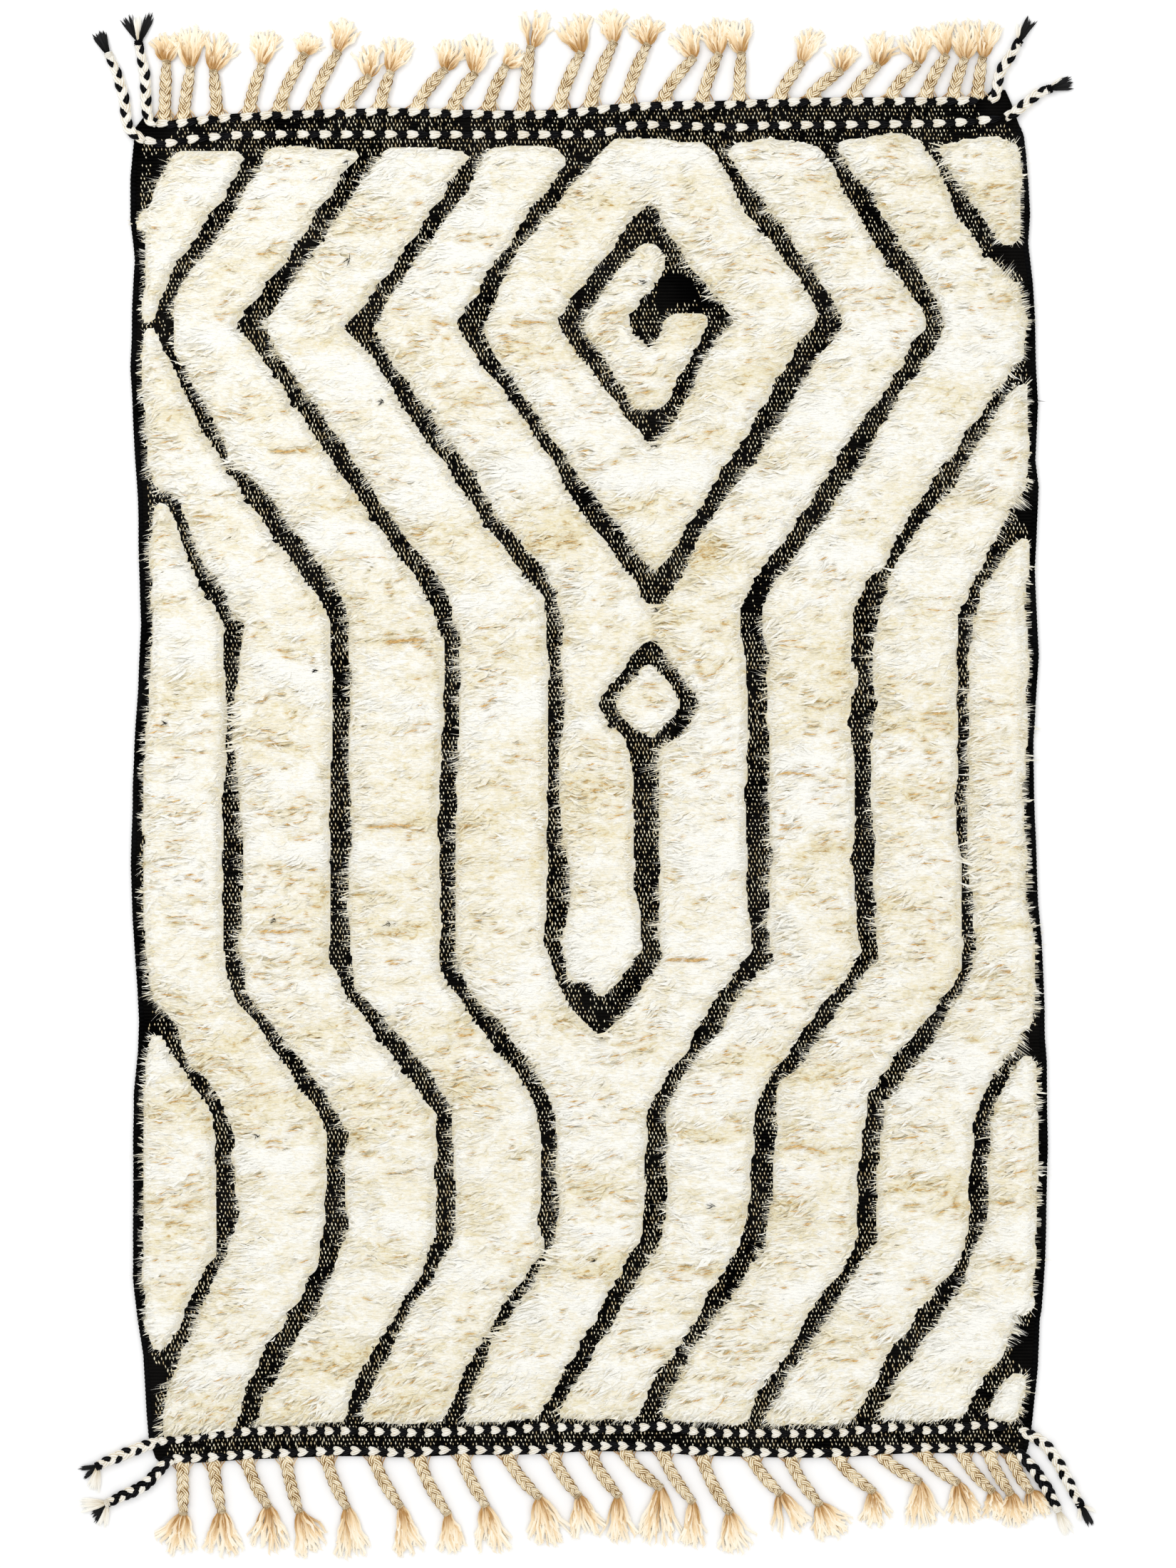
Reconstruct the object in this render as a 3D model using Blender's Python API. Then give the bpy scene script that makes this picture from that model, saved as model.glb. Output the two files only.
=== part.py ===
"""Beni Ourain rug, laid flat, with its twined end cords and its braided fringes.

A black flat-woven ground carries thick bands of cream shag. The bare channels between the bands
draw nested zigzags around a large diamond. Two twined cords cross each end of the cloth and run
out at its corners as braided tails, and the warp ends are braided and knotted into a fringe.

Blender works in metres with +Z up. The tables below are in millimetres, with +X to the right and
+Y towards the top fringe. The origin lies under the middle of the cloth, on the floor.
"""

import math

import bmesh
import bpy
from mathutils import Vector, noise
from mathutils.geometry import delaunay_2d_cdt

MM = 0.001

# Thicknesses and heights above the floor.
GROUND = 4.5            # flat weave
EDGE = 3.4              # rounded outer edge of an overcast selvedge
RIDGE = 6.6             # crown of an overcast selvedge
PILE = 22.0             # usual top of the shag
PILE_LUMP = 3.6         # how far its locks rise and fall
GAP = 0.3               # between two pieces that touch

# How finely the cloth's face is divided.
RIM_STEP = 37.0         # between two locks along a band's rim
RIM_TOOTH = 3.2         # how far a lock stands in front of the next
SHOULDER = 8.0          # from a band's foot to the shoulder of its locks
LUMP_STEP = 52.0        # between two lumps on top of a band
LUMP_CLEAR = 29.0       # from a band's foot to its outermost lumps
EDGE_STEP = 90.0        # between two points of the cloth's own edge
SLIVER = 0.5            # triangles thinner than this are closed up
INSIDE_EDGE = 3.0       # a channel's rim ends this far inside the cloth's side edge
SELVEDGE_MIN = 12.0     # narrowest bare strip along a selvedge
BAND_END = 1070.0       # a channel that ends beyond this meets a twined cord
RUN_OUT = 26.0          # and is carried on by this much

# Twined cords and their braided tails: half width, height.
TWINED = (7.4, 4.6)
TAIL = (8.0, 12.0)
STITCH = 18.0           # one twined stitch, of which every second is white
ROW_OVER_EDGE = 9.0     # the cloth's end lies this far outside its outer cord
PILE_CLEAR = 10.5       # the shag stays this far inside the two inner cords

# Fringe.
STRIP = 6.0             # depth of the strip that the braids grow from
BRAID = (11.0, 11.0)    # half width, height
KNOT = (12.0, 14.0)
NECK = (10.0, 8.0)
PLAITS = 4              # thick and thin places along one braid
LOCKS_PER_BRUSH = 4
LOCKS_PER_TUFT = 3

# Cloth edges. Columns: y, x of the outer edge, width of the bare overcast strip.
LEFT_EDGE = (
    (1086, -763, 24), (1020, -769, 26), (948, -769, 18), (880, -762, 16), (804, -766, 13), (700, -769, 23),
    (560, -762, 26), (480, -757, 24), (380, -755, 13), (270, -751, 18), (168, -756, 19), (60, -763, 16),
    (-138, -769, 18), (-228, -766, 14), (-340, -758, 17), (-400, -755, 20), (-450, -757, 12), (-520, -764, 13),
    (-720, -765, 13), (-830, -765, 12), (-900, -757, 12), (-962, -748, 24), (-1060, -742, 23),
)
RIGHT_EDGE = (
    (1118, 722, 30), (1090, 733, 16), (1060, 737, 12), (1020, 740, 13), (960, 743, 20), (912, 740, 12),
    (900, 741, 40), (846, 748, 28), (780, 752, 15), (715, 753, 22), (690, 754, 12), (640, 757, 20),
    (545, 752, 12), (500, 758, 24), (440, 755, 40), (408, 754, 12), (360, 751, 12), (306, 753, 22),
    (216, 758, 18), (150, 754, 20), (80, 749, 12), (-10, 750, 19), (-120, 754, 15), (-200, 757, 20),
    (-260, 763, 12), (-380, 768, 14), (-430, 768, 30), (-470, 771, 16), (-620, 773, 14), (-800, 769, 16),
    (-884, 763, 14), (-900, 760, 36), (-980, 756, 30), (-1010, 753, 14), (-1064, 748, 14),
)
# Top edge of the shag, which arches over each band. Columns: x, y.
TOP_OF_PILE = (
    (-748, 1070), (-700, 1078), (-585, 1068), (-520, 1076), (-380, 1070), (-300, 1077), (-210, 1068), (-120, 1078),
    (-20, 1072), (75, 1092), (160, 1085), (222, 1076), (300, 1090), (390, 1078), (470, 1094), (530, 1099),
    (572, 1080), (650, 1090), (690, 1095), (722, 1076),
)

# Twined cords, from the left selvedge to the right one. Columns: x, y.
TOP_OUTER = ((-726, 1111), (-702, 1108), (-648, 1115), (-600, 1119), (-510, 1124), (-330, 1129), (-222, 1126),
             (-96, 1124), (-20, 1128), (30, 1134), (126, 1140), (210, 1140), (282, 1143), (390, 1146), (606, 1147),
             (678, 1148))
TOP_INNER = ((-746, 1083), (-720, 1077), (-686, 1080), (-640, 1087), (-504, 1092), (-32, 1092), (40, 1101),
             (76, 1107), (114, 1108), (250, 1104), (300, 1107), (416, 1108), (594, 1111), (666, 1116), (702, 1122))
BOTTOM_INNER = ((-722, -1106), (-570, -1089), (-406, -1088), (-272, -1091), (-174, -1086), (-126, -1089),
                (-76, -1081), (42, -1086), (114, -1080), (162, -1086), (210, -1091), (402, -1092), (474, -1084),
                (528, -1082), (576, -1087), (666, -1078), (726, -1089))
BOTTOM_OUTER = ((-698, -1135), (-630, -1132), (-582, -1128), (-402, -1121), (-300, -1125), (-246, -1120),
                (-96, -1120), (-18, -1114), (114, -1114), (174, -1121), (354, -1125), (426, -1124), (558, -1116),
                (630, -1118), (672, -1114), (722, -1121))

# Braided tails of the twined cords, outwards from the corner. Columns: x, y. The first point still
# lies on the cloth and the second hangs just past its edge.
TAILS = {
    "top_outer": (((-738, 1117), (-743, 1142), (-745, 1188), (-751, 1222), (-756, 1246)),
                  ((686, 1160), (690, 1186), (696, 1202), (709, 1222), (724, 1248))),
    "top_inner": (((-757, 1089), (-774, 1106), (-780, 1150), (-792, 1194), (-806, 1226)),
                  ((714, 1127), (738, 1146), (756, 1161), (776, 1169))),
    "bottom_inner": (((-732, -1109), (-760, -1119), (-784, -1129), (-806, -1138), (-824, -1147)),
                     ((738, -1092), (764, -1107), (782, -1128), (798, -1154), (812, -1182), (828, -1212))),
    "bottom_outer": (((-710, -1141), (-728, -1162), (-750, -1182), (-784, -1198), (-808, -1210)),
                     ((730, -1130), (746, -1148), (764, -1172), (778, -1196), (790, -1220))),
}
# Where the tuft at the end of each tail reaches. Columns: x, y, spread.
TUFTS = {
    "top_outer": ((-747, 1298, 27), (734, 1290, 14)),
    "top_inner": ((-816, 1262, 16), (814, 1160, 24)),
    "bottom_inner": ((-846, -1160, 24), (846, -1246, 18)),
    "bottom_outer": ((-840, -1222, 34), (806, -1262, 20)),
}

# Bare channels between the bands of shag. Columns: x, y, width.
CHANNELS = {
    "left_top": ((-700, 1085, 24), (-735, 1010, 17), (-744, 976, 12)),
    "left_branch": ((-768, 772, 18), (-716, 776, 18)),
    "left_low": ((-738, 486, 17), (-700, 478, 17), (-654, 360, 19), (-636, 336, 26), (-606, 282, 18),
                 (-595, 264, 31), (-600, 200, 29), (-600, 150, 14), (-604, 72, 11), (-599, 12, 19),
                 (-597, -126, 36), (-598, -228, 31), (-600, -270, 22), (-595, -314, 31), (-581, -362, 18),
                 (-548, -400, 17), (-473, -502, 28), (-437, -553, 24), (-422, -594, 36), (-426, -636, 26),
                 (-423, -740, 38), (-444, -818, 26), (-469, -874, 30), (-508, -931, 26), (-528, -965, 37),
                 (-560, -1024, 32), (-578, -1084, 28)),
    "left_foot": ((-738, -376, 20), (-724, -386, 24), (-704, -418, 28), (-673, -482, 10), (-649, -504, 23),
                  (-620, -553, 22), (-611, -600, 33), (-614, -626, 26), (-606, -720, 38), (-613, -768, 24),
                  (-619, -796, 14), (-649, -847, 22), (-678, -920, 22), (-707, -976, 28), (-724, -1030, 26)),
    "first": ((-542, 1085, 22), (-604, 974, 24), (-630, 936, 31), (-702, 834, 20), (-716, 774, 29),
              (-702, 726, 12), (-640, 605, 24), (-604, 534, 8), (-564, 492, 29), (-444, 330, 33),
              (-420, 288, 29), (-414, 180, 31), (-417, 50, 27), (-416, -60, 38), (-419, -204, 27),
              (-416, -290, 37), (-400, -348, 14), (-341, -418, 26), (-282, -492, 31), (-242, -552, 25),
              (-239, -720, 34), (-242, -764, 29), (-274, -833, 17), (-318, -902, 14), (-346, -958, 20),
              (-380, -1013, 27), (-400, -1084, 22)),
    "second": ((-350, 1085, 24), (-444, 948, 29), (-498, 870, 29), (-568, 772, 34), (-534, 720, 26),
               (-510, 684, 22), (-426, 564, 31), (-336, 432, 24), (-258, 330, 31), (-228, 240, 26),
               (-230, 110, 25), (-238, -72, 28), (-234, -240, 23), (-238, -300, 31), (-208, -355, 19),
               (-162, -410, 31), (-92, -502, 24), (-67, -564, 27), (-65, -653, 24), (-66, -737, 33),
               (-66, -785, 8), (-145, -900, 20), (-164, -930, 7), (-182, -965, 22), (-236, -1084, 22)),
    "third": ((-170, 1085, 22), (-240, 972, 24), (-342, 828, 22), (-384, 768, 40), (-354, 726, 20),
              (-282, 618, 29), (-228, 546, 24), (-162, 444, 22), (-84, 348, 29), (-66, 318, 10),
              (-56, 264, 29), (-56, 192, 17), (-52, 144, 31), (-59, 20, 15), (-56, -90, 27),
              (-48, -182, 41), (-60, -264, 27), (-44, -326, 16), (-16, -366, 34), (22, -414, 18)),
    "diamond_left": ((20, 1090, 34), (-18, 1038, 26), (-102, 936, 24), (-124, 900, 12), (-144, 876, 24),
                     (-174, 810, 31), (-200, 774, 38), (-186, 742, 29), (-114, 642, 19), (-48, 546, 20),
                     (-6, 480, 31), (90, 354, 31), (112, 326, 44)),
    "diamond_right": ((214, 1085, 10), (240, 1032, 17), (282, 972, 29), (384, 834, 26), (410, 778, 38),
                      (372, 732, 36), (300, 606, 37), (264, 552, 26), (198, 456, 22), (144, 366, 26),
                      (112, 326, 44)),
    "heart_left": ((104, 968, 16), (78, 924, 29), (0, 822, 31), (-32, 774, 36), (-12, 744, 29),
                   (36, 678, 24), (72, 624, 20), (108, 578, 12)),
    "heart_right": ((104, 968, 16), (120, 924, 24), (162, 864, 24), (226, 780, 29), (192, 732, 19),
                    (168, 678, 19), (144, 630, 22), (108, 578, 12)),
    "eye_left": ((104, 236, 18), (84, 208, 24), (66, 182, 18), (28, 134, 24), (66, 86, 20), (88, 50, 30)),
    "eye_right": ((104, 236, 18), (124, 208, 22), (144, 178, 20), (174, 136, 28), (152, 98, 30), (116, 66, 20),
                  (98, 50, 30)),
    "stem": ((92, 56, 48), (96, 36, 42), (97, -30, 42), (100, -170, 41), (104, -240, 27), (106, -288, 31),
             (82, -324, 34), (56, -360, 40), (22, -414, 18)),
    "fourth": ((390, 1090, 12), (420, 1044, 19), (462, 978, 34), (498, 918, 36), (558, 834, 31),
               (588, 774, 24), (558, 726, 31), (522, 672, 19), (462, 582, 31), (384, 456, 29),
               (300, 348, 24), (272, 288, 34), (283, 214, 38), (286, 110, 29), (287, 48, 36),
               (284, -50, 38), (288, -120, 41), (284, -204, 34), (286, -252, 17), (294, -288, 31),
               (256, -329, 24), (208, -404, 31), (174, -454, 17), (126, -524, 22), (115, -558, 31),
               (114, -720, 37), (104, -770, 31), (22, -910, 24), (-49, -1031, 22), (-74, -1084, 20)),
    "fifth": ((566, 1090, 13), (606, 1020, 14), (632, 970, 29), (678, 906, 29), (704, 880, 34), (752, 876, 46)),
    "sixth": ((760, 712, 22), (728, 696, 22), (702, 666, 12), (684, 636, 19), (624, 546, 24), (576, 480, 22),
              (540, 426, 20), (504, 360, 11), (486, 336, 29), (464, 282, 36), (462, 216, 36),
              (467, 180, 19), (462, 138, 36), (462, 24, 26), (463, -60, 26), (466, -200, 32),
              (474, -289, 28), (436, -341, 16), (406, -378, 25), (348, -462, 26), (314, -498, 17),
              (298, -540, 30), (292, -690, 38), (282, -770, 31), (216, -870, 29), (170, -944, 17),
              (128, -1008, 33), (92, -1084, 28)),
    "seventh": ((756, 450, 60), (726, 438, 50), (708, 420, 30), (654, 330, 14), (636, 276, 26),
                (630, 216, 18), (631, 60, 17), (628, -60, 19), (636, -156, 10), (638, -204, 19),
                (642, -270, 22), (637, -318, 14), (587, -396, 19), (550, -443, 29), (487, -528, 28),
                (469, -660, 31), (469, -760, 34), (451, -803, 17), (432, -829, 17), (396, -881, 30),
                (334, -983, 17), (306, -1020, 28), (278, -1084, 26)),
    "eighth": ((768, -432, 34), (742, -436, 26), (721, -454, 15), (674, -528, 22), (664, -576, 28),
               (659, -648, 25), (660, -720, 29), (638, -792, 12), (622, -829, 24), (551, -931, 26),
               (512, -983, 29), (462, -1084, 28)),
    "ninth": ((760, -936, 66), (730, -944, 50), (706, -976, 30), (680, -1006, 29), (640, -1084, 26)),
}
# Bare patches where the channels open out. Columns: x, y.
PATCHES = (
    ((104, 974), (66, 914), (138, 914)),
    ((74, 626), (146, 626), (108, 568)),
    ((146, 882), (108, 826), (70, 778), (106, 734), (130, 788), (150, 796), (196, 794), (216, 780), (190, 840)),
    ((-30, -340), (0, -340), (14, -360), (38, -360), (64, -340), (22, -426)),
)

# Braids, from left to right. Columns: root x, knot x, knot y, tip x, tip y.
TOP_BRAIDS = (
    (-712, -709, 1216, -703, 1262), (-680, -668, 1206, -672, 1274), (-624, -630, 1200, -606, 1258),
    (-570, -548, 1210, -536, 1266), (-520, -476, 1228, -462, 1262), (-466, -420, 1232, -400, 1284),
    (-408, -368, 1190, -358, 1240), (-350, -332, 1198, -306, 1250), (-288, -240, 1202, -230, 1252),
    (-228, -190, 1196, -178, 1258), (-168, -138, 1208, -116, 1240), (-108, -96, 1240, -92, 1306),
    (-48, -12, 1230, -34, 1292), (4, 44, 1248, 48, 1302), (64, 100, 1244, 98, 1292),
    (126, 178, 1222, 158, 1274), (192, 220, 1228, 214, 1288), (254, 258, 1230, 252, 1288),
    (322, 360, 1214, 380, 1270), (374, 426, 1200, 442, 1240), (444, 488, 1210, 506, 1262),
    (510, 555, 1212, 552, 1272), (568, 603, 1226, 604, 1280), (614, 634, 1220, 634, 1284),
    (655, 664, 1222, 668, 1284),
)
BOTTOM_BRAIDS = (
    (-682, -681, -1228, -700, -1294), (-630, -616, -1225, -615, -1300), (-574, -538, -1216, -536, -1292),
    (-508, -486, -1224, -472, -1296), (-440, -406, -1217, -400, -1304), (-360, -316, -1216, -306, -1298),
    (-284, -236, -1228, -226, -1292), (-212, -172, -1214, -150, -1292), (-136, -82, -1200, -64, -1280),
    (-60, -16, -1198, -2, -1268), (4, 52, -1198, 64, -1276), (62, 122, -1184, 122, -1278),
    (126, 176, -1208, 184, -1282), (192, 239, -1226, 256, -1292), (276, 324, -1194, 342, -1262),
    (340, 390, -1212, 420, -1268), (420, 480, -1190, 496, -1246), (494, 558, -1174, 566, -1250),
    (564, 622, -1176, 636, -1244), (630, 680, -1190, 686, -1236), (674, 711, -1194, 722, -1248),
    (711, 744, -1190, 755, -1240),
)


def clear_scene():
    """Remove every object of the scene."""
    for item in list(bpy.data.objects):
        bpy.data.objects.remove(item, do_unlink=True)


def material(name, colour, roughness):
    """Return a plain wool or cotton finish."""
    finish = bpy.data.materials.new(name)
    finish.use_nodes = True
    shader = finish.node_tree.nodes["Principled BSDF"]
    shader.inputs["Base Color"].default_value = (*colour, 1.0)
    shader.inputs["Roughness"].default_value = roughness
    shader.inputs["Metallic"].default_value = 0.0
    finish.diffuse_color = (*colour, 1.0)
    return finish


def flat(point):
    """Return a point's place on the floor, in millimetres."""
    return Vector((point[0], point[1]))


def along(line, x):
    """Return a line's y at x, where the line is a table of x and y that runs to the right."""
    for (x0, y0), (x1, y1) in zip(line, line[1:]):
        if x <= x1:
            break
    return y0 + (y1 - y0) * (x - x0) / (x1 - x0)


def within_selvedges(point):
    """Return a point, moved if need be to lie just inside the cloth's two side edges."""
    left = along(sorted((y, x) for y, x, band in LEFT_EDGE), point.y) + INSIDE_EDGE
    right = along(sorted((y, x) for y, x, band in RIGHT_EDGE), point.y) - INSIDE_EDGE
    return Vector((min(max(point.x, left), right), point.y))


def wobble(x, y, size, seed):
    """Return a smooth value between about -1 and 1 that turns over in about size millimetres."""
    return noise.noise(Vector((x / size, y / size, seed)))


# The cloth

def run_out(rows):
    """Return a channel with the ends that meet a twined cord carried on past the shag."""
    rows = list(rows)
    for end, inner in ((0, 1), (-1, -2)):
        x, y, width = rows[end]
        if abs(y) > BAND_END:
            away = (flat(rows[end]) - flat(rows[inner])).normalized() * RUN_OUT
            rows[end] = (x + away.x, y + away.y, width)
    return tuple(rows)


CHANNEL_LINES = tuple(run_out(rows) for rows in CHANNELS.values())
SEGMENTS = tuple((flat(a), flat(b), a[2] / 2, b[2] / 2) for rows in CHANNEL_LINES for a, b in zip(rows, rows[1:]))


def outside_channels(point):
    """Return how far a point lies outside the nearest channel, below 0 inside it."""
    best = math.inf
    for start, end, half_start, half_end in SEGMENTS:
        run = end - start
        part = min(1.0, max(0.0, (point - start).dot(run) / run.length_squared))
        reach = half_start + (half_end - half_start) * part
        best = min(best, (point - start - run * part).length - reach)
    return best


def inside_ring(point, ring):
    """Return how far a point lies inside a ring, below 0 outside it."""
    nearest = math.inf
    inside = False
    for start, end in zip(ring, ring[1:] + ring[:1]):
        run = end - start
        part = min(1.0, max(0.0, (point - start).dot(run) / run.length_squared))
        nearest = min(nearest, (point - start - run * part).length)
        if (start.y > point.y) != (end.y > point.y):
            crossing = start.x + (point.y - start.y) * run.x / run.y
            inside ^= point.x < crossing
    return nearest if inside else -nearest


def pile_ring():
    """Return the ring that holds all the shag, clear of the selvedges and the twined cords."""
    left = [Vector((x + max(band, SELVEDGE_MIN), y)) for y, x, band in LEFT_EDGE[1:-1]]
    right = [Vector((x - max(band, SELVEDGE_MIN), y)) for y, x, band in RIGHT_EDGE[2:-1]]
    top = [Vector((x, min(y, along(TOP_INNER, x) - PILE_CLEAR))) for x, y in TOP_OF_PILE]
    bottom = [Vector((x, along(BOTTOM_INNER, x) + PILE_CLEAR)) for x in range(-718, 735, 80)]
    return left + bottom + right[::-1] + top[::-1]


PILE_RING = pile_ring()
PATCH_RINGS = tuple([flat(point) for point in patch] for patch in PATCHES)


def pile_depth(point):
    """Return how far a point lies inside a band of shag, below 0 on the bare ground."""
    depth = min(outside_channels(point), inside_ring(point, PILE_RING))
    for ring in PATCH_RINGS:
        depth = min(depth, -inside_ring(point, ring))
    return depth


def pile_height(point, depth):
    """Return the height of the cloth's face: bare ground, or lumpy shag with rounded rims."""
    if depth <= 0.0:
        return GROUND
    rise = min(1.0, depth / (2.2 * SHOULDER))
    crown = math.sqrt(1.0 - (1.0 - rise) ** 2)
    lumps = wobble(point.x, point.y * 1.8, 90.0, 3.0) + 0.6 * wobble(point.x, point.y, 31.0, 7.0)
    return GROUND + (PILE - GROUND + PILE_LUMP * lumps) * crown


def resample(points, step):
    """Return points along a polyline, its corners kept, with any further columns blended."""
    result = []
    for a, b in zip(points, points[1:]):
        length = math.hypot(b[0] - a[0], b[1] - a[1])
        count = max(1, round(length / step))
        for index in range(count):
            part = index / count
            result.append(tuple(u + (v - u) * part for u, v in zip(a, b)))
    result.append(tuple(points[-1]))
    return result


def side_normals(points):
    """Return the vector to the left of a polyline at each point, longer at its corners."""
    normals = []
    for index, point in enumerate(points):
        before = points[max(0, index - 1)]
        after = points[min(len(points) - 1, index + 1)]
        turns = []
        for a, b in ((before, point), (point, after)):
            run = flat(b) - flat(a)
            if run.length > 0.0:
                turns.append(Vector((-run.y, run.x)).normalized())
        mean = sum(turns, Vector((0.0, 0.0))).normalized()
        normals.append(mean / max(0.62, mean.dot(turns[0])))
    return normals


class Face:
    """Points and forced edges of the cloth's face, before it is divided into triangles."""

    def __init__(self):
        self.points = []
        self.heights = []
        self.edges = []

    def add(self, point, height=None):
        """Add a point, with the height it is held at, and return its number."""
        self.points.append(point)
        self.heights.append(height)
        return len(self.points) - 1

    def add_line(self, points, keep, height=None, closed=False, overrun=False):
        """Add the points that pass a test, or with overrun their neighbours too, and join them."""
        passed = [keep(point) for point in points]
        if overrun:
            around = [False] + passed + [False]
            passed = [any(around[index:index + 3]) for index in range(len(points))]
        numbers = [self.add(point, height) if kept else None for point, kept in zip(points, passed)]
        pairs = list(zip(numbers, numbers[1:]))
        if closed:
            pairs.append((numbers[-1], numbers[0]))
        self.edges += [pair for pair in pairs if None not in pair]


def tooth(index, seed):
    """Return how far the lock with this number stands in front of a band's rim."""
    return RIM_TOOTH * (1.0 if index % 2 else -1.0) * (0.6 + 0.9 * wobble(index * 7.0, 0.0, 3.0, seed))


def add_channels(face):
    """Add the foot and the shoulder of the shag along both sides of every channel."""
    for seed, rows in enumerate(CHANNEL_LINES):
        samples = resample(rows, RIM_STEP)
        normals = side_normals(samples)
        for side in (-1.0, 1.0):
            foot = []
            shoulder = []
            for index, ((x, y, width), normal) in enumerate(zip(samples, normals)):
                rim = width / 2 + tooth(index + int(side > 0.0), seed + side)
                foot.append(within_selvedges(Vector((x, y)) + normal * side * rim))
                shoulder.append(Vector((x, y)) + normal * side * (rim + SHOULDER))
            face.add_line(foot, lambda point: -1.6 * RIM_TOOTH < pile_depth(point), GROUND, overrun=True)
            face.add_line(shoulder, lambda point: pile_depth(point) > 0.5 * SHOULDER)


def add_ring_rim(face, ring, inward):
    """Add the foot and the shoulder of the shag along a ring, on the side where inward points."""
    samples = [flat(point) for point in resample(ring + ring[:1], RIM_STEP)][:-1]
    normals = side_normals(samples)
    foot = []
    shoulder = []
    for index, (point, normal) in enumerate(zip(samples, normals)):
        set_back = tooth(index, 5.5) * 0.6
        foot.append(point + normal * inward * (RIM_TOOTH + set_back))
        shoulder.append(point + normal * inward * (RIM_TOOTH + set_back + SHOULDER))
    face.add_line(foot, lambda point: True, GROUND, closed=True)
    face.add_line(shoulder, lambda point: pile_depth(point) > 0.5 * SHOULDER, closed=True)


def add_lumps(face):
    """Add the lumps on top of the bands, on a staggered grid that wanders."""
    row_step = LUMP_STEP * 0.8
    for row in range(-26, 27):
        for column in range(-15, 16):
            x = (column + 0.5 * (row % 2)) * LUMP_STEP
            y = row * row_step
            point = Vector((x + 14.0 * wobble(x, y, 40.0, 1.0), y + 14.0 * wobble(x, y, 40.0, 2.0)))
            if pile_depth(point) > LUMP_CLEAR:
                face.add(point)


def end_stations(braids):
    """Return where the fringe's strip bends: its two ends and both sides of each braid's root."""
    half = BRAID[0] - 1.0
    roots = [row[0] for row in braids]
    stations = [roots[0] - half - 4.0]
    for root in roots:
        stations += [root - half, root + half]
    return stations + [roots[-1] + half + 3.0]


def cloth_outline():
    """Return the cloth's outer edge and its height there, round from the top left corner."""
    def side(table):
        rows = [(x, y) for y, x, band in table]
        return [(x, y, EDGE) for x, y in resample(rows, EDGE_STEP)]

    def end(line, braids, outward):
        return [(x, along(line, x) + outward * ROW_OVER_EDGE, GROUND) for x in end_stations(braids)]

    top = [(-762, 1104, GROUND), (-748, 1122, GROUND)] + end(TOP_OUTER, TOP_BRAIDS, 1.0)
    top += [(680, 1168, GROUND), (702, 1168, GROUND), (712, 1146, GROUND)]
    bottom = [(-738, -1104, GROUND), (-728, -1134, GROUND), (-716, -1146, GROUND)]
    bottom += end(BOTTOM_OUTER, BOTTOM_BRAIDS, -1.0)
    bottom += [(738, -1124, GROUND), (744, -1096, GROUND)]
    return side(LEFT_EDGE) + bottom + side(RIGHT_EDGE)[::-1] + top[::-1]


def add_selvedges(face):
    """Add the crowns of the two overcast edges."""
    for table, inward in ((LEFT_EDGE, 1.0), (RIGHT_EDGE, -1.0)):
        rows = [(x + inward * min(0.5 * max(band, SELVEDGE_MIN), 9.0), y) for y, x, band in table[1:-1]]
        crown = [flat(point) for point in resample(rows, EDGE_STEP)]
        face.add_line(crown, lambda point: pile_depth(point) < -1.5, RIDGE)


def build_cloth(ground_finish, pile_finish):
    """Make the cloth: one solid with a flat back, bare ground and raised bands of shag."""
    face = Face()
    outline = cloth_outline()
    for x, y, height in outline:
        face.add(Vector((x, y)), height)
    count = len(outline)
    rim = [(index, (index + 1) % count) for index in range(count)]
    face.edges += rim
    add_channels(face)
    add_ring_rim(face, PILE_RING, 1.0)
    for ring in PATCH_RINGS:
        add_ring_rim(face, ring, 1.0 if ring_turns_right(ring) else -1.0)
    add_selvedges(face)
    add_lumps(face)

    places, _, triangles, sources, _, _ = delaunay_2d_cdt(face.points, face.edges, [], 1, 0.8)
    body = bmesh.new()
    top = []
    outer = {}
    for number, (place, origin) in enumerate(zip(places, sources)):
        held = [face.heights[index] for index in origin if face.heights[index] is not None]
        depth = pile_depth(place)
        height = held[0] if held else pile_height(place, depth if depth > 0.6 * SHOULDER else 0.0)
        top.append(body.verts.new((place.x * MM, place.y * MM, height * MM)))
        outer.update({index: top[-1] for index in origin if index < count})
    back = [body.verts.new((x * MM, y * MM, 0.0)) for x, y, _ in outline]
    for triangle in triangles:
        body.faces.new([top[index] for index in triangle])
    for a, b in rim:
        body.faces.new((outer[a], outer[b], back[b], back[a]))
    flat_back = delaunay_2d_cdt([Vector((x, y)) for x, y, _ in outline], rim, [], 1, 0.01)
    for triangle in flat_back[2]:
        body.faces.new([back[index] for index in reversed(triangle)])

    bmesh.ops.dissolve_degenerate(body, dist=SLIVER * MM, edges=body.edges[:])
    bmesh.ops.triangulate(body, faces=[polygon for polygon in body.faces if len(polygon.verts) > 4])
    pile_from = (GROUND + 0.12 * (PILE - GROUND)) * MM
    for polygon in body.faces:
        polygon.material_index = int(polygon.calc_center_median().z > max(pile_from, RIDGE * MM))
    return finish_object("rug", body, (ground_finish, pile_finish))


def ring_turns_right(ring):
    """Return whether a ring runs clockwise, as seen from above."""
    return sum(a.x * b.y - b.x * a.y for a, b in zip(ring, ring[1:] + ring[:1])) < 0.0


def finish_object(name, body, finishes):
    """Turn a finished mesh into an object with its finishes."""
    bmesh.ops.recalc_face_normals(body, faces=body.faces[:])
    mesh = bpy.data.meshes.new(name)
    body.to_mesh(mesh)
    body.free()
    for finish in finishes:
        mesh.materials.append(finish)
    item = bpy.data.objects.new(name, mesh)
    bpy.context.scene.collection.objects.link(item)
    return item


# Strands: braids, twined cords and locks, all flat underneath

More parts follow.
